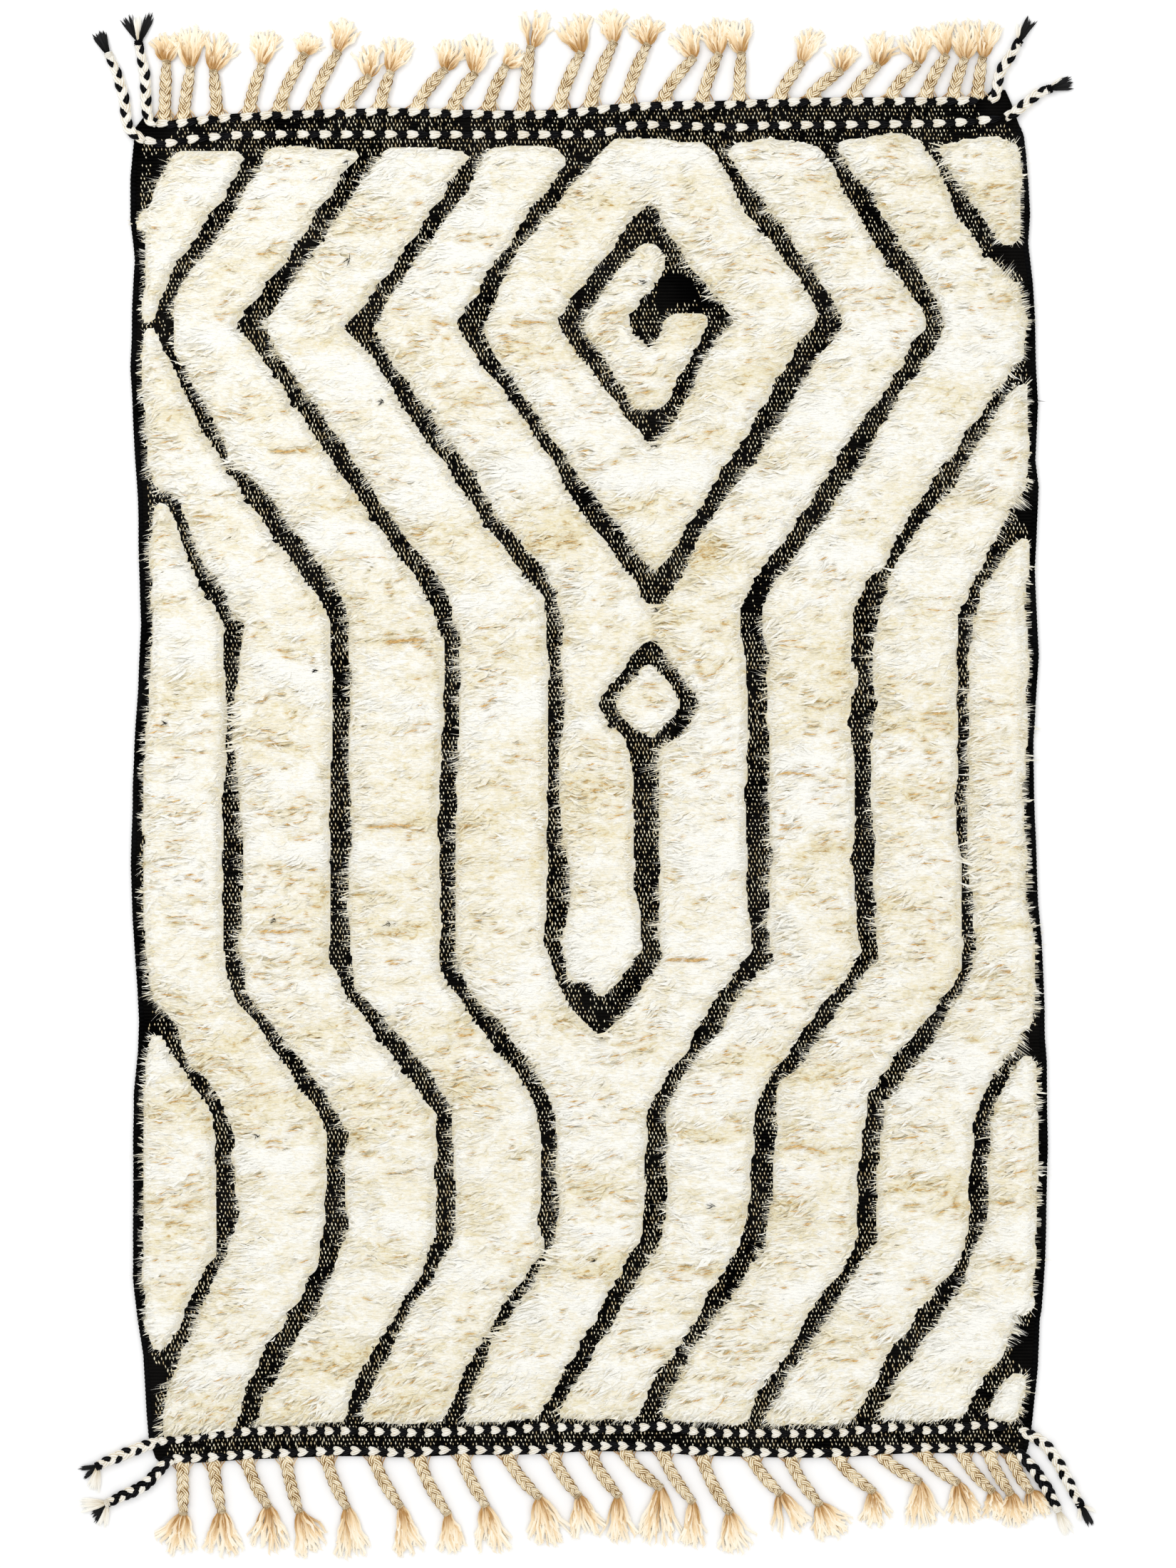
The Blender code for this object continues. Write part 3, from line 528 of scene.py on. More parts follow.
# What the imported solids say

@dataclass
class RugFace:
    """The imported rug's outline and the height of its face, on a fine grid.

    Each overhang is a side, its start and end along the rug, and how far the wool reaches out there.
    Each hanging edge is its start and end across the rug, and how far the wool hangs down there.
    """

    node: str = "rug"
    cell: float = 3.0 * MM
    margin: float = 12.0 * MM
    bare_below: float = 7.2 * MM
    blur_cells: int = 4
    bare_spot: Triple = (-0.735, 1.046, 0.022)
    beside: float = 30.0 * MM
    overhangs: Points = (
        (1.0, -1.2, 0.0, 3.0 * MM), (1.0, 0.0, 1.2, 6.0 * MM), (-1.0, -0.96, -0.90, 9.0 * MM),
        (-1.0, -0.08, 0.33, 3.0 * MM), (-1.0, 0.53, 0.73, 9.0 * MM), (-1.0, 0.93, 0.99, 12.0 * MM))
    hanging: Points = ((-0.735, -0.592, 12.0 * MM), (-0.562, -0.470, 6.0 * MM))
    outline: Array = field(init=False)
    height: Array = field(init=False)
    crown: Array = field(init=False)
    soft: Array = field(init=False)
    edge: Array = field(init=False)
    low: Array = field(init=False)

    def __post_init__(self) -> None:
        """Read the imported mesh."""
        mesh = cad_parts[self.node].data
        corners = np.array([tuple(vertex.co) for vertex in mesh.vertices])
        faces = [tuple(face.vertices) for face in mesh.polygons]
        self.outline = self._outline(corners, faces)
        tree = BVHTree.FromPolygons([Vector(corner) for corner in corners], faces)
        self.low = corners.min(axis=0)[:2] - self.margin
        size = corners.max(axis=0)[:2] + self.margin - self.low
        x, y = np.meshgrid(*(low + self.cell * np.arange(int(math.ceil(span / self.cell)) + 1)
                             for low, span in zip(self.low, size)))
        hits = (tree.ray_cast(Vector((*place, 0.2)), Vector((0.0, 0.0, -1.0)))[0]
                for place in zip(x.ravel(), y.ravel()))
        self.height = np.array([0.0 if hit is None else hit.z for hit in hits]).reshape(x.shape)
        spot_x, spot_y, reach = self.bare_spot
        shag = (self.height > self.bare_below) & (np.hypot(x - spot_x, y - spot_y) > reach)
        for side, start, end, reach in self.overhangs:
            near = side * (self.edge_x(side, y) - x) < self.beside
            shag = self._spread(shag, side * reach, 1, near & (y > start) & (y < end))
        for start, end, drop in self.hanging:
            shag = self._spread(shag, -drop, 0, (x > start) & (x < end) & (y < -1.0))
        self.crown = self._blurred(self.height, 2)
        self.soft = self.edge = shag.astype(float)
        for _ in range(2):
            self.soft = self._blurred(self.soft, self.blur_cells)
            self.edge = self._blurred(self.edge, 1)

    def _spread(self, shag: Array, reach: float, axis: int, where: Array) -> Array:
        """Carry the shag on beyond its rim.

        Args:
            shag: Where the shag is, on the grid.
            reach: How far it goes, forwards or backwards along the axis.
            axis: 0 for the rug's length, 1 for its width.
            where: The part of the grid that this concerns.

        Returns:
            Where the shag is now. Its height is carried on with it.
        """
        step = int(math.copysign(1.0, reach))
        for _ in range(int(round(abs(reach) / self.cell))):
            spills = np.roll(shag, step, axis=axis) & ~shag & where
            self.height = np.where(spills, np.roll(self.height, step, axis=axis), self.height)
            shag = shag | spills
        return shag

    @staticmethod
    def _outline(corners: Array, faces: Sequence[tuple[int, ...]]) -> Array:
        """Return the edge of the faces that lie on the floor, as one ring."""
        keys = [tuple(np.round(corner[:2] * 1e5).astype(int)) for corner in corners]
        edges = {(keys[a], keys[b]) for face in faces if all(corners[index][2] < 1e-5 for index in face)
                 for a, b in zip(face, face[1:] + face[:1])}
        following = {a: b for a, b in edges if (b, a) not in edges}
        ring = [min(following)]
        while following[ring[-1]] != ring[0]:
            ring.append(following[ring[-1]])
        return np.array(ring)[::-1] * 1e-5

    @staticmethod
    def _blurred(values: Array, cells: int) -> Array:
        """Return the mean over a square of 2 cells + 1 a side."""
        for axis in (0, 1):
            padded = np.insert(np.cumsum(values, axis=axis), 0, 0.0, axis=axis)
            places = np.arange(values.shape[axis])
            upper, lower = np.minimum(places + cells + 1, len(places)), np.maximum(places - cells, 0)
            values = (np.take(padded, upper, axis) - np.take(padded, lower, axis)) / (2 * cells + 1)
        return values

    def sample(self, values: Array, x: Array, y: Array) -> Array:
        """Return a grid's values at places, blended between its points."""
        u, v = (np.clip((place - low) / self.cell, 0.0, count - 1.001)
                for place, low, count in zip((x, y), self.low, values.shape[::-1]))
        return blended(values, u, v)

    def masks(self, x: Array, y: Array) -> tuple[Array, Array]:
        """Return how far places are in the shag, from 0 to 1, by the soft mask and by the crisp one."""
        return self.sample(self.soft, x, y), self.sample(self.edge, x, y)

    def inward(self, mask: Array, x: Array, y: Array, reach: float = 6.0 * MM,
               least: float = TINY) -> tuple[Array, Array, Array]:
        """Return the way into the shag.

        Args:
            mask: The mask of the shag whose slope is followed.
            x: Places across the rug.
            y: Places along it.
            reach: How far to each side the slope is read.
            least: The least steepness that counts.

        Returns:
            The way across and along the rug, near 1 in all at a rim, and how steep the mask is.
        """
        across = (self.sample(mask, x + reach, y) - self.sample(mask, x - reach, y)) / (2.0 * reach)
        length = (self.sample(mask, x, y + reach) - self.sample(mask, x, y - reach)) / (2.0 * reach)
        steep = np.maximum(np.hypot(across, length), least)
        return across / steep, length / steep, steep

    def box(self) -> tuple[Array, Array]:
        """Return the outline's lowest and highest corner."""
        return self.outline.min(axis=0), self.outline.max(axis=0)

    def grid(self, step: float, start: float = 0.0, over: float = 0.0) -> tuple[Array, Array]:
        """Return a square grid over the outline's box, from a start inside it to some way over its end."""
        return tuple(np.meshgrid(*(np.arange(a + start, b + over, step) for a, b in zip(*self.box()))))

    def bricks(self, pitch: tuple[float, float]) -> tuple[Array, Array]:
        """Return places over the outline's box in rows, each shifted half a pitch against the next."""
        low, high = self.box()
        i, j = (number.ravel() for number in np.meshgrid(
            *(np.arange(int((b - a) / step)) for a, b, step in zip(low, high, pitch))))
        return low[0] + (i + 0.5 * (j % 2)) * pitch[0], low[1] + j * pitch[1]

    def anywhere(self, rng: np.random.Generator, tries: int) -> tuple[Array, Array]:
        """Return places by chance in the outline's box."""
        low, high = self.box()
        return rng.uniform(low[0], high[0], tries), rng.uniform(low[1], high[1], tries)

    def area(self) -> float:
        """Return the area inside the outline, in square metres."""
        x, y = self.outline.T
        return abs(float(np.sum(x * np.roll(y, -1) - np.roll(x, -1) * y)) / 2.0)

    def edge_x(self, side: float, y: Array) -> Array:
        """Return the x of a side edge at any y. Side is -1 for left, 1 for right."""
        points = self.outline[self.outline[:, 0] * side > 0.70]
        points = points[np.argsort(points[:, 1])]
        return np.interp(y, points[:, 1], points[:, 0])


# Planting strands with Geometry Nodes

@dataclass
class Planting:
    """Points to plant strands on, with each strand's direction, size, kind and tint.

    Places and sizes come in three columns. What is one number is the same for every strand.
    """

    places: tuple[Array, Array, Array]
    yaw: Array
    size: tuple[Any, Any, Any]
    pitch: Any = 0.0
    roll: Any = 0.0
    kind: Any = 0.0
    tint: Any = 0.0

    def points(self, name: str, chosen: Any) -> Piece:
        """Return an object of the loose points that a mask chooses, which carry all this."""
        def rows(*columns: Any) -> Array:
            """Return the chosen rows of columns."""
            return np.stack(np.broadcast_arrays(self.yaw, *columns)[1:], axis=1)[chosen]

        item = make(name, rows(*self.places).tolist(), [], None, False, tint=rows(self.tint))
        give(item.data, "turn", rows(self.roll, self.pitch, self.yaw), "FLOAT_VECTOR")
        give(item.data, "size", rows(*self.size), "FLOAT_VECTOR")
        give(item.data, "kind", rows(self.kind), "INT")
        return item


class Bend(Enum):
    """How a strand curves between its root and its tip: sideways and up, as shares of its length."""

    HOOKED = (0.16, 0.10)
    SLACK = (-0.13, 0.16)
    LIMP = (0.05, 0.22)
    STRAIGHT = (-0.03, 0.07)


@dataclass
class Strand:
    """A strand of unit length and girth along +X that ends in a point, in one variant for each bend."""

    stations: tuple[float, ...] = (0.0, 0.5)
    girths: tuple[float, ...] = (0.34, 0.5)
    sides: int = 3
    bow: float = 4.0
    curl: float = 0.0

    def variants(self) -> list[Piece]:
        """Return one object for each bend."""
        return [self._variant(bend) for bend in Bend]

    def _variant(self, bend: Bend) -> Piece:
        """Return the strand with one bend."""
        sideways, upward = bend.value
        sides, last = self.sides, (len(self.stations) - 1) * self.sides
        angles = [math.pi / 2.0 + 2.0 * math.pi * index / sides for index in range(sides)]
        places = []
        for station, girth in zip(self.stations, self.girths):
            arch = math.sin(math.pi * station) * self.bow
            sway = math.copysign(self.curl, sideways) * math.sin(2.6 * math.pi * station) * station
            places += [(station, sideways * arch + sway + girth * math.cos(angle),
                        upward * arch + girth * math.sin(angle)) for angle in angles]
        around = [(index, (index + 1) % sides) for index in range(sides)]
        faces = []
        for a in range(0, last, sides):
            for one, two in around:
                faces += [(a + one, a + two, a + sides + two), (a + one, a + sides + two, a + sides + one)]
        faces += [(last + one, last + two, last + sides) for one, two in around]
        faces.append(tuple(range(sides - 1, -1, -1)))
        places.append((1.0, 0.0, 0.0))
        return make("strand_" + bend.name.lower(), places, faces, None, False,
                    along=np.array(places)[:, 0],
                    across=np.array([math.cos(angle) for angle in angles] * len(self.stations) + [0.0]))


@dataclass
class Lozenge(Strand):
    """A low lozenge with its crown in the middle, the same for each bend."""

    def _variant(self, bend: Bend) -> Piece:
        """Return the lozenge."""
        return make("lozenge_" + bend.name.lower(),
                    [(-1.0, 0.0, 0.0), (0.0, -1.0, 0.0), (1.0, 0.0, 0.0), (0.0, 1.0, 0.0), (0.0, 0.0, 1.0)],
                    [(0, 1, 4), (1, 2, 4), (2, 3, 4), (3, 0, 4), (3, 2, 1, 0)],
                    along=np.array([0.3, 0.5, 0.3, 0.5, 1.0]))


def planting_tree() -> bpy.types.NodeTree:
    """Return a node group that plants one of four strands on each point and paints them."""
    tree = bpy.data.node_groups.new("plant_strands", "GeometryNodeTree")
    for name, kind in (("Geometry", "Geometry"), *((bend.name.title(), "Object") for bend in Bend),
                       ("Length", "Float"), ("Girth", "Float"), ("Wool", "Material")):
        tree.interface.new_socket(name, in_out="INPUT", socket_type="NodeSocket" + kind)
    tree.interface.new_socket("Geometry", in_out="OUTPUT", socket_type="NodeSocketGeometry")
    given = tree.nodes.new("NodeGroupInput").outputs

    def add(kind: str, sockets: dict[Any, Any], output: Any = 0, **settings: str) -> bpy.types.NodeSocket:
        """Add a node, link or set its inputs, and return one of its outputs."""
        node = tree.nodes.new(kind)
        for key, value in settings.items():
            setattr(node, key, value)
        for key, value in sockets.items():
            if isinstance(value, bpy.types.NodeSocket):
                tree.links.new(value, node.inputs[key])
            else:
                node.inputs[key].default_value = value
        return node.outputs[output]

    def stored(name: str, data_type: str) -> bpy.types.NodeSocket:
        """Return a named attribute's output."""
        return add("GeometryNodeInputNamedAttribute", {"Name": name}, "Attribute", data_type=data_type)

    join = tree.nodes.new("GeometryNodeJoinGeometry")
    for bend in reversed(Bend):
        shape = add("GeometryNodeObjectInfo", {"Object": given[bend.name.title()]}, "Geometry")
        tree.links.new(add("GeometryNodeGeometryToInstance", {0: shape}), join.inputs[0])
    sizes = add("ShaderNodeCombineXYZ", {0: given["Length"], 1: given["Girth"], 2: given["Girth"]})
    plant = add("GeometryNodeInstanceOnPoints", {
        "Points": given["Geometry"], "Instance": join.outputs[0], "Pick Instance": True,
        "Instance Index": stored("kind", "INT"),
        "Rotation": add("FunctionNodeEulerToRotation", {0: stored("turn", "FLOAT_VECTOR")}),
        "Scale": add("ShaderNodeVectorMath", {0: stored("size", "FLOAT_VECTOR"), 1: sizes},
                     operation="MULTIPLY")})
    paint = add("GeometryNodeSetMaterial", {"Geometry": add("GeometryNodeRealizeInstances", {0: plant}),
                                            "Material": given["Wool"]})
    tree.links.new(paint, tree.nodes.new("NodeGroupOutput").inputs[0])
    return tree


@dataclass
class Planter:
    """Plants strands on points and gives plain meshes."""

    tree: bpy.types.NodeTree = field(default_factory=planting_tree)

    def plant(self, name: str, planting: Planting, strand: Strand, wool: bpy.types.Material,
              length: float = 1.0, girth: float = 1.0, chosen: Any = slice(None)) -> Piece:
        """Plant one piece's strands.

        Args:
            name: The piece's name.
            planting: Where each strand stands and which way it goes.
            strand: The unit strand.
            wool: Its material.
            length: The usual strand's length, in metres.
            girth: Its usual width, in metres.
            chosen: The strands to plant, where it isn't all of them.

        Returns:
            The piece, as a plain mesh.
        """
        source, variants = planting.points(name + "_points", chosen), strand.variants()
        modifier = source.modifiers.new("plant", "NODES")
        modifier.node_group = self.tree
        values = {bend.name.title(): item for bend, item in zip(Bend, variants)}
        values.update({"Length": length, "Girth": girth, "Wool": wool})
        for item in self.tree.interface.items_tree:
            if item.in_out == "INPUT" and item.name in values:
                modifier[item.identifier] = values[item.name]
        graph = bpy.context.evaluated_depsgraph_get()
        mesh = bpy.data.meshes.new_from_object(source.evaluated_get(graph), depsgraph=graph)
        mesh.name = name
        for item in [source, *variants]:
            bpy.data.objects.remove(item, do_unlink=True)
        return linked(name, mesh)


# The cloth

@dataclass
class GroundCloth:
    """The black flat weave, one closed sheet, with cream warp floats standing on it."""

    face: RugFace
    thickness: float = 4.4 * MM
    unevenness: float = 0.25 * MM
    mesh_step: float = 30.0 * MM
    float_pitch: tuple[float, float] = (6.5 * MM, 7.0 * MM)
    float_size: Triple = (1.3 * MM, 3.2 * MM, 0.9 * MM)
    float_sink: float = 0.35 * MM
    selvedge: float = 15.0 * MM
    black_patches: Points = (
        (-0.728, 1.118, 0.036), (0.690, 1.150, 0.045), (0.728, 0.900, 0.042), (0.748, 0.464, 0.030),
        (-0.742, -1.110, 0.034), (-0.742, -0.360, 0.022), (0.756, -0.436, 0.030), (0.746, -0.950, 0.040),
        (-0.735, -1.000, 0.028), (0.150, 0.830, 0.030))

    def build(self) -> Piece:
        """Return the cloth."""
        ring = [Vector(point) for point in self.face.outline]
        count = len(ring)
        rim = [(index, (index + 1) % count) for index in range(count)]
        x, y = self.face.grid(self.mesh_step, self.mesh_step)
        inside = self._inside(x, y, 0.4 * self.mesh_step)
        inner = [Vector(point) for point in zip(x[inside], y[inside])]
        places, _, faces, sources, _, _ = delaunay_2d_cdt(ring + inner, rim, [], 1, 1e-5)
        edge_of = {index: number for number, ids in enumerate(sources) for index in ids if index < count}
        x, y = np.array(places).T
        top = self.thickness - self.unevenness + self.unevenness * ripple(0, x, y, 70.0 * MM)
        start = len(places)
        walls = [(edge_of[a], edge_of[b], start + b, start + a) for a, b in rim]
        back = delaunay_2d_cdt(ring, rim, [], 1, 1e-6)[2]
        under = [tuple(start + index for index in reversed(face)) for face in back]
        cloth = make("ground_cloth", [*zip(x, y, top), *((a, b, 0.0) for a, b in self.face.outline)],
                     [tuple(face) for face in faces] + walls + under, WEAVE.material(), False)
        solid = bmesh.new()
        solid.from_mesh(cloth.data)
        bmesh.ops.recalc_face_normals(solid, faces=solid.faces[:])
        solid.to_mesh(cloth.data)
        solid.free()
        return cloth

    def _inside(self, x: Array, y: Array, margin: float) -> Array:
        """Return whether places lie on the cloth, clear of its edges by a margin."""
        around = ((0.0, 0.0), (margin, 0.0), (-margin, 0.0), (0.0, margin), (0.0, -margin))
        heights = [self.face.sample(self.face.height, x + dx, y + dy) for dx, dy in around]
        return np.min(heights, axis=0) > 2.0 * MM

    def floats(self, planter: Planter) -> Piece:
        """Return the warp's cream floats, on all of the cloth that is bare."""
        face, rng = self.face, np.random.default_rng(SEED + 1)
        x, y = face.bricks(self.float_pitch)
        x, y = x + rng.normal(0.0, 0.6 * MM, x.size), y + rng.normal(0.0, 0.6 * MM, y.size)
        y += 3.0 * MM * ripple(2, x, y, 0.25)
        wear = ripple(3, x, y, 30.0 * MM) + 0.6 * ripple(4, x, y, 7.0 * MM)
        bare = (self._inside(x, y, 3.0 * MM) & (x > face.edge_x(-1.0, y) + self.selvedge)
                & (x < face.edge_x(1.0, y) - self.selvedge) & (wear < 0.75)
                & (rng.uniform(0.0, 1.0, x.size) > 0.12) & (face.masks(x, y)[1] < 0.35))
        for patch_x, patch_y, radius in self.black_patches:
            bare &= np.hypot(x - patch_x, y - patch_y) > radius * (1.0 + 0.2 * wear)
        x, y, wear = x[bare], y[bare], wear[bare]
        size = [side * rng.uniform(0.8, 1.25, x.size) for side in self.float_size]
        size[1] *= np.clip(1.05 - 0.35 * wear, 0.6, 1.3)
        planting = Planting((x, y, self.thickness - self.float_sink), rng.normal(0.12, 0.14, x.size), size,
                            tint=rng.uniform(-1.0, 1.0, x.size))
        return planter.plant("warp_floats", planting, Lozenge(), FLOAT.material())


@dataclass
class Selvedges:
    """The two side edges, overcast with black yarn."""

    face: RugFace
    ends: tuple[float, float] = (-1.118, 1.108)
    half_width: float = 5.0 * MM
    half_height: float = 3.0 * MM
    inset: float = 4.0 * MM
    wrap: float = 7.0 * MM
    step: float = 3.5 * MM

    def build(self) -> list[Piece]:
        """Return the left and the right edge."""
        finish, pieces = SELVEDGE.material(), []
        y = np.arange(*self.ends, self.step)
        turns = np.sin(2.0 * math.pi * y / self.wrap + 0.6 * ripple(6, y, y * 0.3, 0.02))
        for side, name in ((-1.0, "selvedge_left"), (1.0, "selvedge_right")):
            x = self.face.edge_x(side, y) - side * self.inset
            swell = 1.0 + 0.10 * turns + 0.12 * ripple(7, y, y * 0.0 + side, 0.05)
            shell = Shell()
            tube(shell, np.column_stack([x, y, np.full(y.size, self.half_height + 0.2 * MM)]),
                 self.half_width * swell, self.half_height * swell, 8)
            pieces.append(shell.build(name, finish))
        return pieces


# The shag

@dataclass
class Shag:
    """The cream pile: a combed, lumpy bed, the locks that lie over it and the wisps at its rims.

    Each lump is a height in millimetres, its noise, how stretched it is and its size in millimetres.
    Dark fibres have a place each. Each parting has a start and an end across the rug, and its y. The
    loose thread has its x, y and z, its direction and its length against the fibres'. Sizes of strands
    are a length and a girth.
    """

    face: RugFace
    lean: tuple[float, float] = (-0.99, -0.14)
    row: tuple[float, float] = (8.9 * MM, 6.4 * MM)
    jitter: tuple[float, float] = (5.0, 3.8)
    length: float = 36.0 * MM
    girth: float = 6.4 * MM
    wisp_length: float = 20.0 * MM
    wisp_girth: float = 1.35 * MM
    shade_line_size: tuple[float, float] = (17.0 * MM, 1.7 * MM)
    fibre_size: tuple[float, float] = (9.0 * MM, 1.3 * MM)
    bed_step: float = 6.0 * MM
    bed_drop: float = 3.0 * MM
    ground: float = 4.0 * MM
    lump: float = 2.0 * MM
    lumps: Points = ((1.9, 49, 3.6, 58.0), (1.7, 36, 3.0, 34.0), (1.4, 47, 2.6, 14.0), (0.7, 37, 2.4, 7.0))
    parting: float = 3.6 * MM
    rows: float = 10.5 * MM
    rim_level: float = 0.40
    rim_steepness: float = 25.0
    rim_shift: float = 6.0 * MM
    edge_level: float = 0.45
    soft_level: float = 0.33
    right_side: float = 0.68
    fibres: int = 6
    thread: tuple[float, ...] = (0.748, 0.645, 7.0 * MM, -0.1, 2.6)
    dark: Points = (
        (-0.344, 0.642), (-0.708, 0.100), (-0.456, 0.190), (-0.402, 0.880), (0.094, 0.844), (0.120, 0.292),
        (0.014, -0.799), (-0.554, -0.590), (0.209, -0.709), (-0.527, -0.229), (-0.334, -0.236),
        (-0.404, 1.046), (-0.462, 0.887))
    partings: Points = (
        (-0.27, -0.19, 0.774), (-0.126, -0.042, 0.774), (0.126, 0.210, -0.294), (0.054, 0.090, -0.700),
        (0.678, 0.720, -0.702), (0.306, 0.390, 0.016), (-0.564, -0.450, -0.248), (0.318, 0.390, -0.610),
        (-0.540, -0.455, 0.560), (0.560, 0.640, 0.120), (-0.350, -0.262, 0.240), (-0.380, -0.280, -0.070))

    def combed(self, x: Array, y: Array) -> tuple[Array, Array]:
        """Return places in coordinates that bend with the wool's flow."""
        return (x + 10.0 * MM * ripple(30, x, y, 50.0 * MM),
                y + 8.0 * MM * ripple(31, x, y, 70.0 * MM) + 3.0 * MM * ripple(32, x, y, 22.0 * MM))

    def crease(self, x: Array, y: Array) -> Array:
        """Return how deep the shag is parted at places, from 0 to 1."""
        u, v = self.combed(x, y)
        reach = 1.5 * MM
        before, line, after = (ripple(33, u / 3.3, v + shift, self.rows) for shift in (-reach, 0.0, reach))
        lines = np.abs(line) * reach / np.maximum(np.abs(after - before) / 2.0, 0.05)
        where = (0.8 * ripple(34, x, y * 1.8, 40.0 * MM) + 0.4 * ripple(35, x, y, 0.17)
                 - 0.3 * self.wave(x, y) / self.lump)
        deep = share(1.0 - lines / self.parting) * share((where + 0.12) / 0.25)
        for start, end, level in self.partings:
            wander = level + 3.0 * MM * ripple(10, x, x * 0.0 + level, 22.0 * MM)
            inside = np.clip(1.0 - np.abs(x - 0.5 * (start + end)) / (0.5 * (end - start)), 0.0, 0.3) / 0.3
            deep = np.maximum(deep, inside * share(1.4 - np.abs(y - wander) / self.parting))
        return deep

    def wave(self, x: Array, y: Array) -> Array:
        """Return the height of the combed lumps, in metres."""
        u, v = self.combed(x, y)
        return sum(height * MM * ripple(number, u / stretch, v, size * MM)
                   for height, number, stretch, size in self.lumps)

    def level(self, x: Array, y: Array) -> Array:
        """Return the height of the bed at places, without its lumps."""
        return self.face.sample(self.face.crown, x, y) - self.bed_drop

    def bed(self) -> Piece:
        """Return the bed that the locks lie on, closed down to the cloth at its rims."""
        face = self.face
        x, y = face.grid(self.bed_step, 0.0, self.bed_step)
        soft, edge = face.masks(x, y)
        inside = (edge > self.edge_level) & (soft > self.soft_level)
        cells = inside[:-1, :-1] & inside[1:, :-1] & inside[:-1, 1:] & inside[1:, 1:]
        around, (rows, columns) = np.pad(cells, 1), inside.shape
        near = [around[j:j + rows, i:i + columns] for j in (0, 1) for i in (0, 1)]
        used = np.any(near, axis=0)
        rim = used & ~np.all(near, axis=0)
        in_x, in_y, steep = face.inward(face.edge, x, y, 4.0 * MM, self.rim_steepness)
        shift = np.clip((edge - self.rim_level) / steep, -self.rim_shift, self.rim_shift) * rim
        x, y = x - shift * in_x, y - shift * in_y
        deep, wave = self.crease(x, y), self.wave(x, y)
        height = np.maximum(self.level(x, y) + (wave - 5.0 * MM * deep), self.ground + 2.0 * MM)
        places = np.stack([x, y, np.where(rim, self.ground, height)], axis=-1)[used]
        number = np.cumsum(used).reshape(used.shape) - 1
        rings = (number[:-1, :-1], number[:-1, 1:], number[1:, 1:], number[1:, :-1])
        # Painted light and shade: the tint is darker on the rim where the bed slopes down to the cloth,
        # follows the lumps' height, lighter on top and darker in the hollows, and darkens the partings,
        # partly also for the wool's yellower roots there.
        tint = np.where(rim, -0.6, wave / self.lump) - 1.6 * deep
        return make("shag_bed", places.tolist(), np.stack([ring[cells] for ring in rings], axis=1).tolist(),
                    SHAG.material(), along=np.full(len(places), 0.55), tint=tint[used])

    def flow(self, x: Array, y: Array, scatter: Array) -> tuple[Array, Array]:
        """Return the way the wool lies at places, with a scatter in radians added."""
        reach = 6.0 * MM
        fall = self.combed(x + reach, y)[1] - self.combed(x - reach, y)[1]
        climb = self.combed(x, y + reach)[1] - self.combed(x, y - reach)[1]
        turn = math.atan2(self.lean[1], self.lean[0]) + np.arctan2(-fall, climb) + scatter
        turn = turn + 0.6 * share((-0.92 - y) / 0.16)
        return np.cos(turn), np.sin(turn)

    def locks(self) -> Planting:
        """Return where every lock lies."""
        face, rng = self.face, np.random.default_rng(SEED + 20)
        x, y = (place + rng.uniform(-most, most, place.size) * MM
                for place, most in zip(face.bricks(self.row), self.jitter))
        soft, edge = face.masks(x, y)
        in_x, in_y, _ = face.inward(face.soft, x, y)
        falls = share(-(in_x * self.lean[0] + in_y * self.lean[1]))
        deep = self.crease(x, y)
        keep = (edge > self.edge_level) & (soft > np.maximum(0.73 * falls, self.soft_level)) & (deep < 0.02)
        x, y, soft, falls, deep, in_x, in_y = (part[keep] for part in (x, y, soft, falls, deep, in_x, in_y))
        count = x.size
        rim = share((0.99 - soft) / 0.3)
        climbs = rim * share(1.0 - 3.0 * falls)
        go_x, go_y = self.flow(x, y, rng.normal(0.0, 0.20, count) + 0.32 * ripple(48, x, y, 24.0 * MM))
        reach = rng.uniform(0.7, 1.25, count) * (1.0 - 0.62 * climbs)
        for _ in range(5):
            ahead = [part * reach * self.length for part in (0.35, 0.7, 1.0)]
            under = [face.sample(face.soft, x + go_x * step, y + go_y * step) for step in ahead]
            reach = np.where(np.min(under, axis=0) < 0.5, 0.75 * reach, reach)
        within, wave = 11.0 * MM * climbs, self.wave(x, y)
        z = self.level(x + in_x * within, y + in_y * within) + wave - 1.1 * MM + 0.9 * MM * climbs
        z = np.maximum(z, self.ground)
        pitch = rng.uniform(-0.045, 0.045, count) * (1.0 - rim) + 0.22 * rim * falls - 0.04 * climbs
        pitch = np.minimum(pitch, (z - 0.6 * self.ground) / (reach * self.length))
        size = (reach, rng.uniform(0.75, 1.3, count) * (1.0 - 0.4 * rim), rng.uniform(0.12, 0.18, count))
        # Painted light and shade: the tint follows the lumps' height, lighter on top and darker in the
        # hollows, and darkens locks by the partings; the random parts are the wool's own uneven tone.
        tint = (0.35 * rng.normal(0.0, 1.0, count) + 0.7 * ripple(46, x / 1.4, y, 10.0 * MM)
                + 1.1 * wave / self.lump - 1.5 * deep)
        return Planting((x, y, z), np.arctan2(go_y, go_x), size, pitch, rng.uniform(-0.5, 0.5, count),
                        rng.integers(0, len(Bend), count), tint)

